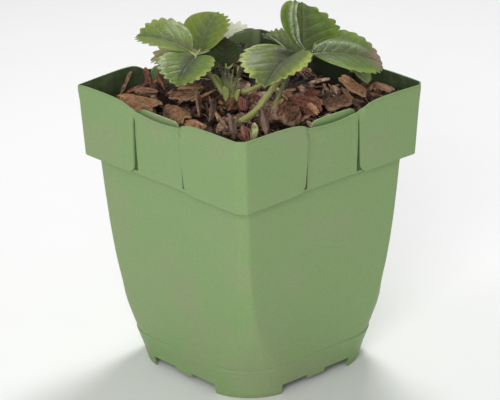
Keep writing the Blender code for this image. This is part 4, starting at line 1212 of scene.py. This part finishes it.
# Shoots among the stalks of the crown: points, radius, finish.
SHOOTS = (
    (((-12.9, -0.6, 120.6), (-14.2, -2.0, 128.6), (-15.4, -3.3, 136.2)), 0.75, "stalk_shaded"),
    (((-12.4, -0.9, 120.6), (-12.7, -1.3, 127.6), (-12.8, -1.2, 134.0)), 0.62, "stalk_shaded"),
    (((-11.6, -0.6, 120.6), (-11.3, -0.2, 127.8), (-10.9, 0.5, 133.6)), 0.52, "stalk_young"),
    (((-11.2, 0.2, 120.6), (-10.2, 1.6, 128.2), (-8.8, 3.2, 135.6)), 0.68, "stalk_shaded"),
    (((-13.6, -2.0, 120.2), (-12.9, -1.6, 122.6), (-13.2, -2.0, 125.6)), 0.95, "stalk_young"),
    (((-10.6, -1.2, 119.8), (-10.1, -0.8, 122.6), (-9.6, -0.6, 126.4)), 1.15, "stalk_young"),
)
STALK_FINISH = {
    "petiole_a": "stalk_olive", "petiole_b": "stalk_green", "petiole_c": "stalk_shaded",
    "petiole_d": "stalk_young", "petiole_e": "stalk_green", "petiole_f": "stalk_shaded",
    "petiole_young": "stalk_green",
}


def stalk_piece(name, mesh, material, nodes=()):
    points, faces, along, uv = mesh
    facts = {"along": along, "fringe": np.ones(len(along))}
    return piece(name, points, faces, material, "stalk_green", nodes, facts, uv)


def make_petiolules(materials):
    """Short stalks that join each leaflet to the end of its leaf's stalk."""
    for stalk, (points, _, high) in STALKS.items():
        leaf = stalk.replace("petiole", "leaf")
        for leaflet, values in LEAFLETS.items():
            if not leaflet.startswith(leaf + "_"):
                continue
            start, base = np.array(points[-1]), np.array(values[0])
            inner = base + 1.4 * np.array(direction(values[1], values[2])) - (0.0, 0.0, 0.35)
            middle = 0.5 * (start + base) - (0.0, 0.0, 0.3)
            path = smooth_path((start - (0.0, 0.0, 0.5), middle, inner), 6)
            radii = np.linspace(0.75 * high, 0.4, len(path))
            skin, faces, along, uv = tube(path, radii, 12, random.Random(leaflet))
            stalk_piece(leaflet.replace("leaf_", "petiolule_"),
                        (skin, faces, np.ones(len(along)), uv), materials["stalk_green"])


def make_crown(materials):
    path = smooth_path(CROWN_POINTS, 12)
    radii = np.interp(np.linspace(0, 2, len(path)), (0, 1, 2), CROWN_RADII)
    radii = radii * (0.96 + 0.06 * np.sin(np.linspace(0.0, 26.0, len(path))))
    points, faces, along, uv = tube(path, radii, 36, random.Random("crown"), 0.12)
    piece("crown_scales", points, faces, materials["crown_scaly"], "crown_brown", ["crown"],
          {"along": along}, uv)


def make_stalks(materials):
    """The leaf stalks, their petiolules and the young shoots; gives back the ones that carry hairs."""
    made = []
    for node_name, (points, low, high) in STALKS.items():
        chance = random.Random(node_name)
        path = smooth_path(points, 14)
        place = np.linspace(0.0, 1.0, len(path))
        radii = low + (high - low) * place + 0.35 * low * np.exp(-((1.0 - place) / 0.04) ** 2)
        radii = SLIMMER * radii * np.where(place > 0.985, 0.8, 1.0)
        name = "stalk_" + node_name.removeprefix("petiole_")
        made.append(stalk_piece(name, tube(path, radii, 18, chance), materials[STALK_FINISH[node_name]],
                                [node_name]))
    make_petiolules(materials)
    for number, (points, radius, finish) in enumerate(SHOOTS, 1):
        path = smooth_path(points, 10)
        radii = radius * (1.0 - 0.45 * np.linspace(0.0, 1.0, len(path)) ** 2)
        mesh = tube(path, radii, 14, random.Random(number), 0.1)
        made.append(stalk_piece(f"stalk_shoot_{number}", mesh, materials[finish]))
    make_crown(materials)
    return made


def make_buds(materials):
    for node_name, (centre, radii, heading, pitch) in BUDS.items():
        bm = bmesh.new()
        bmesh.ops.create_uvsphere(bm, u_segments=40, v_segments=28, radius=1.0)
        points = np.array([v.co for v in bm.verts])
        faces = [[v.index for v in f.verts] for f in bm.faces]
        bm.free()
        turn = np.arctan2(points[:, 1], points[:, 0])
        scales = 0.5 + 0.5 * np.cos(5.0 * turn + 6.0 * points[:, 2])
        taper = 1.0 - 0.18 * np.clip(points[:, 2], 0.0, 1.0) ** 2
        lumps = ripples(random.Random(node_name), 6, 2.0, 5.0)(turn, points[:, 2] * 2.0)
        points[:, :2] *= (taper * (0.84 + 0.1 * scales + 0.1 * lumps))[:, None]
        points[:, 0] += 0.22 * points[:, 2] ** 2 - 0.1
        bud_turn = np.array(Vector(direction(heading, pitch)).to_track_quat("Z", "Y").to_matrix())
        points = (points * np.array(radii)) @ bud_turn.T + np.array(centre)
        piece(node_name.replace("bud_", "bud_scales_"), points, faces, materials["bud_scaly"], "bud_cream",
              [node_name])


# ---------------------------------------------------------------- bark


def chip_mesh(name, values, rows=44, columns=15):
    """A torn flake between two ends: ragged outline, splintered ends and ridges that follow the fibres."""
    start, end, width, thickness, roll, curl = values
    start, end = Vector(start), Vector(end)
    length = (end - start).length
    chance = random.Random(name)
    shape = [0.75 + chance.uniform(-0.2, 0.2) for _ in range(7)]
    u = np.linspace(-0.5, 0.5, rows)[:, None] * np.ones((1, columns))
    v = np.linspace(-1.0, 1.0, columns)[None, :] * np.ones((rows, 1))
    outline = np.interp(u + 0.5, np.linspace(0.0, 1.0, 7), shape) + 0.25
    ragged = 1.0 - 0.09 * (1.0 + ripples(chance, 5, 12.0, 40.0)(u, np.sign(v) * 2.0))
    point = (2.0 * u * POINTED.get(name, chance.choice((-1.0, 1.0)))).clip(0.0, 1.0)
    half = 0.5 * width * (1.0 - 0.4 * (2.0 * u) ** 4 - 0.45 * point**2) * outline * ragged
    splinters = 0.5 + 0.5 * ripples(chance, 4, 3.0, 9.0)(v, np.sign(u) * 5.0)
    shorter = 1.0 - 0.26 * np.abs(2.0 * u) ** 3 * np.clip(splinters, 0.0, 1.3)
    bow = math.radians(max(curl, 0.01))
    radius = half / bow
    angle = v * bow
    fibres = ripples(chance, 7, 2.0, 7.0, lean=math.pi / 2)
    lumps = ripples(chance, 5, 3.0, 9.0)
    ridge = 0.28 * fibres(u * 3.0, v * width * 0.45) + 0.25 * lumps(u, v * width / length)
    rim = np.maximum(np.abs(v), np.abs(2.0 * u)) ** 4
    body = 0.5 * thickness * (1.0 - 0.75 * rim)
    x = u * length * shorter
    y = radius * np.sin(angle)
    z = radius * (np.cos(angle) - 1.0)
    top = z + body + 0.5 * thickness * ridge * (1.0 - 0.6 * rim)
    low = z - body + 0.35 * thickness * lumps(u * 1.3, v) * (1.0 - rim)
    flat = np.concatenate([np.stack([x, y, level_z], axis=-1).reshape(-1, 3) for level_z in (top, low)])
    turn = (end - start).to_track_quat("X", "Z").to_matrix() @ Matrix.Rotation(math.radians(roll), 3, "X")
    points = flat @ np.array(turn).T + np.array(start.lerp(end, 0.5))
    edge = np.maximum(np.abs(v), np.abs(2.0 * u) ** 3)
    shift = chance.uniform(0.0, 90.0)
    uv = np.tile(np.column_stack([(x + shift).ravel(), (y + 1.7 * shift).ravel()]), (2, 1))
    uv[rows * columns:] += 31.0
    return points, two_sided_faces(rows, columns), {"margin": np.tile(edge.ravel(), 2)}, uv


# Words in a chip's name that give its slot, the first that fits; other chips are brown.
CHIP_WORDS = {
    "bark_tan": ("curl", "flat", "tan", "orange", "pale"),
    "bark_red": ("red", "purple"),
    "bark_dark": ("dark", "fibre"),
}


def chip_slot(name):
    for slot, words in CHIP_WORDS.items():
        if any(word in name for word in words):
            return slot
    return "bark_brown"


# The end that runs out to a point, where it matters: -1 for the first end.
POINTED = {"bark_chip_red_spike": -1.0, "bark_chip_red_lean": -1.0}
# A chip drawn out down to the bark that it stands in.
LONGER_CHIPS = {"bark_chip_stick_wall": ((-50.0, -32.3, 120.0), (-50.4, -25.2, 129.8), 2.0, 1.1, 0, 0)}
# Splinters that lie on and between the chips, with the same values as the chips.
SPLINTERS = {
    "bark_red": (
        ((-49.8, -29.8, 120.6), (-49.8, -15.0, 121.9), 2.6, 1.2, 25, 15),
        ((-9.2, 10.4, 121.9), (1.4, 5.8, 121.4), 2.2, 1.0, 10, 10),
        ((12.4, 23.9, 124.8), (23.0, 21.2, 125.4), 2.6, 1.0, 60, 30),
        ((-47.5, -22.0, 121.0), (-50.3, -14.5, 124.5), 1.6, 0.9, 0, 0),
    ),
    "bark_brown": (
        ((-50.0, -14.2, 120.8), (-49.4, -9.0, 123.4), 2.4, 1.2, 0, 10),
        ((-50.0, -15.2, 121.6), (-39.0, -20.0, 120.0), 2.2, 1.2, 20, 10),
        ((-31.5, -17.8, 119.4), (-34.6, -0.8, 122.6), 3.4, 1.3, 30, 10),
        ((-24.1, -17.7, 119.8), (-27.9, -1.3, 122.4), 2.6, 1.2, 30, 20),
        ((-3.8, -17.4, 121.2), (21.2, -31.6, 122.6), 1.6, 0.9, 0, 0),
        ((-8.8, 0.1, 121.0), (-0.1, -12.5, 120.6), 1.4, 0.9, 0, 0),
        ((14.0, -30.0, 121.4), (22.0, -36.0, 123.4), 1.8, 0.9, 30, 0),
    ),
    "bark_tan": (
        ((-24.1, -21.3, 120.0), (-31.9, -0.1, 123.0), 2.6, 1.2, 40, 10),
        ((-20.9, -16.5, 120.6), (-19.9, -1.8, 122.8), 1.7, 1.0, 0, 0),
        ((-19.4, -6.8, 121.4), (10.3, -27.1, 122.0), 1.5, 0.9, 0, 0),
        ((4.7, 16.6, 124.0), (9.5, 19.4, 124.8), 3.2, 0.9, 0, 0),
        ((25.3, 31.8, 127.0), (41.6, 22.9, 127.6), 1.8, 1.0, 20, 0),
        ((16.7, 15.0, 125.0), (43.6, 0.9, 127.0), 2.4, 1.0, 40, 0),
        ((23.0, -8.2, 123.4), (15.4, 6.7, 125.6), 2.8, 1.2, 40, 10),
        ((14.6, -5.8, 123.2), (38.8, -25.7, 125.2), 0.9, 0.7, 0, 0),
        ((-49.0, -9.8, 121.6), (-41.2, -13.6, 120.4), 1.2, 0.7, 0, 0),
        ((-12.4, -7.0, 120.6), (-8.6, -8.3, 120.6), 2.0, 1.3, 0, 0),
        ((22.8, 22.6, 125.4), (20.3, 27.5, 128.6), 0.7, 0.5, 0, 0),
        ((21.1, 27.9, 128.4), (27.6, 25.9, 127.4), 0.7, 0.5, 0, 0),
    ),
    "bark_dark": (
        ((11.4, -4.6, 122.6), (37.5, -26.2, 124.6), 1.8, 1.0, 0, 0),
        ((-33.0, -12.0, 120.6), (-29.0, 3.0, 122.4), 2.0, 1.0, 30, 0),
        ((-16.0, -12.0, 120.4), (-5.0, -20.0, 121.0), 2.0, 1.0, 60, 0),
    ),
}


def make_splinters(materials):
    for slot, rows in SPLINTERS.items():
        meshes = [chip_mesh(f"{slot}_splinter_{number}", values, 26, 7) for number, values in enumerate(rows)]
        first = 0
        faces = []
        for points, own_faces, _, _ in meshes:
            faces += [tuple(first + corner for corner in face) for face in own_faces]
            first += len(points)
        margin = np.concatenate([mesh[2]["margin"] for mesh in meshes])
        piece(slot.replace("bark", "splinters"), np.concatenate([mesh[0] for mesh in meshes]), faces,
              materials[slot], slot, attributes={"margin": margin},
              uv=np.concatenate([mesh[3] for mesh in meshes]), sharp=BARK_SHARP_FROM)


def make_chips(materials):
    for node_name, values in {**CHIPS, **LONGER_CHIPS}.items():
        points, faces, facts, uv = chip_mesh(node_name, values)
        slot = chip_slot(node_name)
        piece("torn_" + node_name.removeprefix("bark_chip_"), points, faces, materials[slot], slot,
              [node_name], facts, uv, sharp=BARK_SHARP_FROM)


# ---------------------------------------------------------------- growing medium


def mulch_height(x, y):
    """Level of the bark, dished, higher at the back right and heaped against the back left wall."""
    (middle_x, middle_y), (wide, long) = HEAP_MIDDLE, HEAP_REACH
    heap = HEAP_HEIGHT * np.exp(-(((x - middle_x) / wide) ** 2) - ((y - middle_y) / long) ** 2)
    dish = MULCH_DISH * (x * x + y * y) / MULCH_DISH_RADIUS**2
    return MULCH_MIDDLE + MULCH_SLOPE * (x + y) + dish + heap


# Hollows in the bark: middle and radius.
HOLLOWS = (
    (-24.0, 19.0, 8.5), (-43.0, 18.0, 9.0), (-17.0, -5.0, 4.5), (-31.0, -15.0, 4.0), (15.0, -30.0, 5.5),
    (-9.0, -18.0, 4.5), (23.5, 19.0, 5.5), (19.0, -7.0, 4.5), (38.0, 31.0, 6.5),
    (-5.0, 29.0, 8.0), (7.0, 45.0, 9.0), (-30.0, -25.0, 3.5), (33.0, -14.0, 4.5),
)
HOLLOW_DEPTH = 2.2
PEAT_GAP = 0.3
PEAT_BLOCK_TOP = 112.0
COVER_SEED = 7
# How thickly the bark lies along the walls and in the corners, and how far out that begins.
WALL_COVER = 1.3
WALL_COVER_FROM = 38.0
CORNER_COVER = 1.6
CORNER_COVER_FROM = 64.0


def hollowness(x, y):
    """How deep inside a hollow a place lies, from 0 to 1."""
    return np.max([np.exp(-(((x - a) ** 2 + (y - b) ** 2) / r**2) ** 2) for a, b, r in HOLLOWS], axis=0)


def bed_points(half, depth, count, roughness, seed):
    """Ground at depth under the mulch level, square but kept clear of the label flaps."""
    rough = ripples(random.Random(seed), 14, 0.25, 1.1)
    fine = ripples(random.Random(seed + 1), 14, 1.5, 4.0)
    x, y = np.meshgrid(np.linspace(-half, half, count), np.linspace(-half, half, count), indexing="ij")
    far, near = np.maximum(np.abs(x), np.abs(y)), np.minimum(np.abs(x), np.abs(y))
    behind_flap = 1.0 - smooth_step((near - FLAP_HALF_WIDTH - 0.8) / 2.0)
    limit = BED_HALF - (BED_HALF - BED_HALF_AT_FLAP) * behind_flap
    pull = 1.0 - (1.0 - limit / BED_HALF) * (far / BED_HALF) ** 8
    pull = pull * np.minimum(1.0, BED_CORNER_REACH / np.maximum(far + near, 1.0))
    z = mulch_height(x, y) - depth - HOLLOW_DEPTH * hollowness(x, y)
    z = z + roughness * (rough(x, y) + 0.45 * fine(x, y)) * smooth_step((half - far) / 3.0)
    return np.stack([x * pull, y * pull, z], axis=-1).reshape(-1, 3)


def grid_faces(rows, columns):
    return [(r * columns + c, (r + 1) * columns + c, (r + 1) * columns + c + 1, r * columns + c + 1)
            for r in range(rows - 1) for c in range(columns - 1)]


def make_soil(materials):
    """The peat, made near-black as painted shade for the gaps between the chips: a rough bed under the bark,
    and a block below it that fills the pot.
    """
    count = 160
    top = bed_points(BED_HALF, 3.4, count, 0.7, 11)
    low = top * (0.995, 0.995, 1.0) - (0.0, 0.0, 5.0)
    piece("peat_bed", np.concatenate([top, low]), two_sided_faces(count, count), materials["soil_peat"],
          "potting_soil", ["soil"])
    clear = WALL + PEAT_GAP
    levels = [inset_level(*FOOT_SECTIONS[1][1:], FLOOR_TOP + PEAT_GAP, clear)]
    levels += [inset_level(*wall_section(height), height, clear)
               for height in (20.0, 30.0, 46.0, 62.0, 78.0, 96.0)]
    top_half, top_corner = BODY_SECTIONS[0][1:]
    levels.append(level(top_half - clear, top_corner - clear, PEAT_BLOCK_TOP))
    points, faces = closed_rings(levels, [levels[0].mean(axis=0), levels[-1].mean(axis=0)])
    piece("peat_block", points, faces, materials["soil_peat"], "potting_soil", ["soil"])


# ---------------------------------------------------------------- scatter


def geometry_group(name, inputs):
    """A new Geometry Nodes tree, its input node and its output node."""
    tree = bpy.data.node_groups.new(name, "GeometryNodeTree")
    tree.interface.new_socket("Geometry", in_out="INPUT", socket_type="NodeSocketGeometry")
    for key, kind in inputs.items():
        tree.interface.new_socket(key, in_out="INPUT", socket_type="NodeSocket" + kind)
    tree.interface.new_socket("Geometry", in_out="OUTPUT", socket_type="NodeSocketGeometry")
    return tree, node(tree, "NodeGroupInput"), node(tree, "NodeGroupOutput")


def random_value(tree, low, high, seed, kind="FLOAT"):
    """A random number or vector of each point, between two ends."""
    inputs = {"Min": low, "Max": high, "Seed": seed}
    return live(node(tree, "FunctionNodeRandomValue", inputs, data_type=kind).outputs, "Value")


def random_turn(tree, tilt, seed):
    """A random turn all the way round, tilted by up to tilt."""
    back = times(tree, tilt, -1.0)
    low = node(tree, "ShaderNodeCombineXYZ", {"X": back, "Y": back, "Z": 0.0})
    high = node(tree, "ShaderNodeCombineXYZ", {"X": tilt, "Y": tilt, "Z": 2.0 * math.pi})
    return random_value(tree, low.outputs["Vector"], high.outputs["Vector"], seed, "FLOAT_VECTOR")


def scattered_points(tree, get, thickest):
    """Points on the faces given, as dense as the density and the attribute called thickest say."""
    share = node(tree, "GeometryNodeInputNamedAttribute", {"Name": thickest}, data_type="FLOAT")
    amount = times(tree, get["Density"], live(share.outputs, "Attribute"))
    inputs = {"Mesh": get["Geometry"], "Seed": get["Seed"], "Density": amount}
    return node(tree, "GeometryNodeDistributePointsOnFaces", inputs, distribute_method="RANDOM")


def end_tree(tree, out, instances, material):
    """Makes the instances real and gives them their material."""
    real = node(tree, "GeometryNodeRealizeInstances", {"Geometry": instances})
    inputs = {"Geometry": real.outputs["Geometry"], "Material": material}
    coated = node(tree, "GeometryNodeSetMaterial", inputs)
    join(tree, out, Geometry=coated.outputs["Geometry"])
    return tree


def scatter_group():
    """Strews templates over a surface, each turned, tilted, scaled and toned at random."""
    tree, given, out = geometry_group(
        "strew",
        {"Templates": "Collection", "Density": "Float", "Smallest": "Float", "Largest": "Float",
         "Tilt": "Float", "Darkest": "Float", "Palest": "Float", "Seed": "Int", "Material": "Material"},
    )
    get = given.outputs
    points = scattered_points(tree, get, "cover")
    shapes = node(tree, "GeometryNodeCollectionInfo", {"Collection": get["Templates"],
                                                       "Separate Children": True, "Reset Children": True})
    placed = node(tree, "GeometryNodeInstanceOnPoints",
                  {"Points": points.outputs["Points"], "Instance": shapes.outputs["Instances"],
                   "Pick Instance": True, "Rotation": random_turn(tree, get["Tilt"], get["Seed"]),
                   "Scale": random_value(tree, get["Smallest"], get["Largest"], get["Seed"])})
    tone = random_value(tree, get["Darkest"], get["Palest"], get["Seed"])
    toned = node(tree, "GeometryNodeStoreNamedAttribute",
                 {"Geometry": placed.outputs["Instances"], "Name": "tone", "Value": tone},
                 data_type="FLOAT", domain="INSTANCE")
    return end_tree(tree, out, toned.outputs["Geometry"], get["Material"])


def hair_group():
    """Short tapered hairs that stand out of a surface, as densely as its fringe attribute says."""
    tree, given, out = geometry_group(
        "hairs", {"Density": "Float", "Length": "Float", "Radius": "Float", "Lean": "Float",
                  "Seed": "Int", "Material": "Material"},
    )
    get = given.outputs
    points = scattered_points(tree, get, "fringe")
    hair = node(tree, "GeometryNodeMeshCone",
                {"Vertices": 3, "Radius Bottom": get["Radius"], "Depth": get["Length"]}, fill_type="NONE")
    lean = node(tree, "FunctionNodeEulerToRotation", {"Euler": random_turn(tree, get["Lean"], get["Seed"])})
    turned = node(tree, "FunctionNodeRotateRotation",
                  {"Rotation": points.outputs["Rotation"], "Rotate By": lean.outputs["Rotation"]},
                  rotation_space="LOCAL")
    placed = node(tree, "GeometryNodeInstanceOnPoints",
                  {"Points": points.outputs["Points"], "Instance": hair.outputs["Mesh"],
                   "Rotation": turned.outputs["Rotation"],
                   "Scale": random_value(tree, 0.5, 1.2, get["Seed"])})
    return end_tree(tree, out, placed.outputs["Instances"], get["Material"])


def grow(name, source, group, inputs):
    """The mesh that a Geometry Nodes tree makes on a source mesh."""
    holder = bpy.data.objects.new(name, source)
    bpy.context.scene.collection.objects.link(holder)
    modifier = holder.modifiers.new("grow", "NODES")
    modifier.node_group = group
    sockets = {item.name: item.identifier for item in group.interface.items_tree
               if item.item_type == "SOCKET" and item.in_out == "INPUT"}
    for key, value in inputs.items():
        modifier[sockets[key]] = value
    graph = bpy.context.evaluated_depsgraph_get()
    graph.update()
    mesh = bpy.data.meshes.new_from_object(holder.evaluated_get(graph))
    bpy.data.objects.remove(holder)
    return mesh


def templates(word, shape, count, size, seed):
    """A collection of small shapes, each made by one call of shape; all draw from one chance."""
    collection = bpy.data.collections.new(f"{word}s_{seed}")
    chance = random.Random(seed)
    for index in range(count):
        name = f"{word}_{seed}_{index}"
        points, faces = shape(name, size, chance)
        mesh = bpy.data.meshes.new(name)
        mesh.from_pydata((points * MM).tolist(), [], faces)
        collection.objects.link(bpy.data.objects.new(name, mesh))
    return collection


def flake(name, size, chance):
    """A small chip of a few dozen faces."""
    length = size * chance.uniform(0.75, 1.0)
    width = length * chance.choice((0.16, 0.3, 0.45, 0.6, 0.75))
    values = ((-length / 2, 0, 0), (length / 2, 0, 0), width, chance.uniform(0.8, 1.5), 0,
              chance.choice((4.0, 20.0, 45.0, 70.0)))
    return chip_mesh(name, values, 8, 4)[:2]


def crumb(_, size, chance):
    """A lump of twenty faces."""
    bm = bmesh.new()
    bmesh.ops.create_icosphere(bm, subdivisions=1, radius=size * MM)
    points = np.array([v.co * chance.uniform(0.6, 1.1) for v in bm.verts]) / MM
    faces = [[v.index for v in f.verts] for f in bm.faces]
    bm.free()
    return points, faces


def thread(_, size, chance):
    """A thin curved thread of bark."""
    bends = [(chance.uniform(-0.15, 0.15) * size, chance.uniform(0.0, 0.2) * size) for _ in range(2)]
    knots = [(-size / 2, 0, 0), (-size / 6, *bends[0]), (size / 6, *bends[1]), (size / 2, 0, 0)]
    path = smooth_path(knots, 3)
    return tube(path, np.linspace(0.22, 0.1, len(path)), 4, chance, 0.1)[:2]


def bed_mesh(half, depth, seed):
    """A sheet to strew bark on, whose cover attribute leaves gaps."""
    mesh = bpy.data.meshes.new("bed")
    count = 60
    points = bed_points(half, depth, count, 0.4, seed)
    mesh.from_pydata((points * MM).tolist(), [], grid_faces(count, count))
    x, y, _ = points.T
    gaps = ripples(random.Random(COVER_SEED), 9, 0.45, 0.9)(x, y)
    far = np.maximum(np.abs(x), np.abs(y))
    walled = WALL_COVER * smooth_step((far - WALL_COVER_FROM) / 5.0)
    cover = np.maximum(smooth_step((gaps + 0.45) / 0.5), walled) * (1.0 - hollowness(x, y))
    cornered = CORNER_COVER * smooth_step((np.abs(x) + np.abs(y) - CORNER_COVER_FROM) / 14.0)
    cover = np.maximum(cover, cornered)
    mesh.attributes.new("cover", "FLOAT", "POINT").data.foreach_set("value", cover)
    return mesh


# Templates of each layer of loose bark: word, shape, count, size and seed.
TEMPLATES = {
    "loose_slabs": ("flake", flake, 10, 16.0, 20),
    "loose_flakes": ("flake", flake, 10, 10.0, 21),
    "loose_slivers": ("flake", flake, 9, 6.0, 22),
    "loose_threads": ("thread", thread, 6, 10.0, 23),
    "loose_crumbs": ("crumb", crumb, 5, 0.8, 24),
}
# Half side and depth of each layer's bed, pieces a square millimetre, smallest, largest, tilt, darkest,
# palest, seed and slot.
LOOSE_BARK = {
    "loose_slabs": (42.0, 1.4, 0.017, 0.65, 1.1, 42, 0.2, 0.95, 30, "bark_brown"),
    "loose_flakes": (46.5, 2.2, 0.045, 0.6, 1.2, 46, 0.0, 1.0, 31, "bark_brown"),
    "loose_slivers": (50.0, 2.4, 0.06, 0.5, 1.3, 60, 0.0, 0.9, 32, "bark_red"),
    "loose_threads": (46.0, 0.9, 0.022, 0.5, 1.2, 25, 0.55, 1.0, 33, "bark_red"),
    "loose_crumbs": (51.0, 3.4, 0.24, 0.35, 1.3, 180, 0.0, 0.62, 34, "bark_dark"),
}


def make_mulch(materials):
    """Loose bark between the large chips: slabs, flakes, slivers, threads and crumbs."""
    group = scatter_group()
    bark = materials["bark_mixed"]
    for name, (half, depth, density, small, large, tilt, dark, pale, seed, slot) in LOOSE_BARK.items():
        inputs = {"Templates": templates(*TEMPLATES[name]), "Density": density / MM**2,
                  "Smallest": small, "Largest": large, "Tilt": math.radians(tilt), "Darkest": dark,
                  "Palest": pale, "Seed": seed, "Material": bark}
        add_piece(name, grow(name, bed_mesh(half, depth, seed), group, inputs), bark, slot)


def make_hairs(materials, blades, stalks):
    group = hair_group()
    hair = materials["plant_hair"]
    for word, sources, density, length, radius, lean in (("stalk", stalks, 2.6, 1.1, 0.035, 0.5),
                                                         ("blade", blades, 1.6, 0.7, 0.028, 0.6)):
        for source in sources:
            inputs = {"Density": density / MM**2, "Length": length * MM, "Radius": radius * MM, "Lean": lean,
                      "Seed": len(source.name), "Material": hair}
            name = source.name.replace(word, word + "_hairs")
            mesh = grow(name, source.data.copy(), group, inputs)
            if len(mesh.polygons):
                add_piece(name, mesh, hair, source["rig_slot"])


# ---------------------------------------------------------------- studio


def make_floor():
    mesh = bpy.data.meshes.new("studio_floor")
    far = FLOOR_HALF
    mesh.from_pydata([(-far, -far, 0), (far, -far, 0), (far, far, 0), (-far, far, 0)], [], [(0, 1, 2, 3)])
    floor = bpy.data.objects.new("studio_floor", mesh)
    bpy.context.scene.collection.objects.link(floor)
    material, tree, shader = new_material("floor_paper", Roughness=0.9, Specular_IOR_Level=0.1)
    grain = noise(tree, place_in_object(tree), 30.0, 3.0, 0.5)
    join(tree, shader, Base_Color=mix(tree, grain, (0.93, 0.93, 0.93), (0.95, 0.95, 0.95)))
    mesh.materials.append(material)


def from_plant(azimuth, elevation):
    """The direction from the plant to something at an azimuth and an elevation."""
    a, e = math.radians(azimuth), math.radians(elevation)
    return Vector((math.sin(a) * math.cos(e), -math.cos(a) * math.cos(e), math.sin(e)))


def add_light(name, azimuth, elevation, distance, size, power):
    """A square soft white light that faces the plant."""
    data = bpy.data.lights.new(name, "AREA")
    data.shape = "SQUARE"
    data.size = size * MM
    data.energy = power
    light = bpy.data.objects.new(name, data)
    bpy.context.scene.collection.objects.link(light)
    target = Vector(CAMERA_TARGET)
    light.location = (target + from_plant(azimuth, elevation) * distance) * MM
    light.rotation_euler = (target * MM - light.location).to_track_quat("-Z", "Y").to_euler()


def make_studio():
    world = bpy.data.worlds.new("studio_air")
    bpy.context.scene.world = world
    world.use_nodes = True
    background = world.node_tree.nodes["Background"]
    background.inputs["Color"].default_value = (1.0, 1.0, 1.0, 1.0)
    background.inputs["Strength"].default_value = 0.3
    add_light("key_front", CAMERA_AZIMUTH - 11.0, 25.0, 1300.0, 560.0, 8.0)
    add_light("key_left", CAMERA_AZIMUTH - 95.0, 45.0, 1100.0, 500.0, 1.2)
    add_light("top_back", CAMERA_AZIMUTH + 165.0, 64.0, 1000.0, 300.0, 6.0)
    make_floor()


def make_camera():
    data = bpy.data.cameras.new("camera")
    data.lens = CAMERA_LENS
    camera = bpy.data.objects.new("camera", data)
    bpy.context.scene.collection.objects.link(camera)
    back = from_plant(CAMERA_AZIMUTH, CAMERA_ELEVATION)
    camera.location = (Vector(CAMERA_TARGET) + back * CAMERA_DISTANCE) * MM
    turn = (-back).to_track_quat("-Z", "Y").to_matrix() @ Matrix.Rotation(math.radians(CAMERA_ROLL), 3, "Z")
    camera.rotation_euler = turn.to_euler()
    bpy.context.scene.camera = camera


def main():
    materials = make_materials()
    make_pot(materials)
    make_soil(materials)
    blades = make_leaves(materials)
    stalks = make_stalks(materials)
    make_buds(materials)
    make_chips(materials)
    make_splinters(materials)
    make_mulch(materials)
    make_hairs(materials, blades, stalks)
    make_studio()
    make_camera()
    bpy.context.scene.view_settings.view_transform = "Standard"


main()
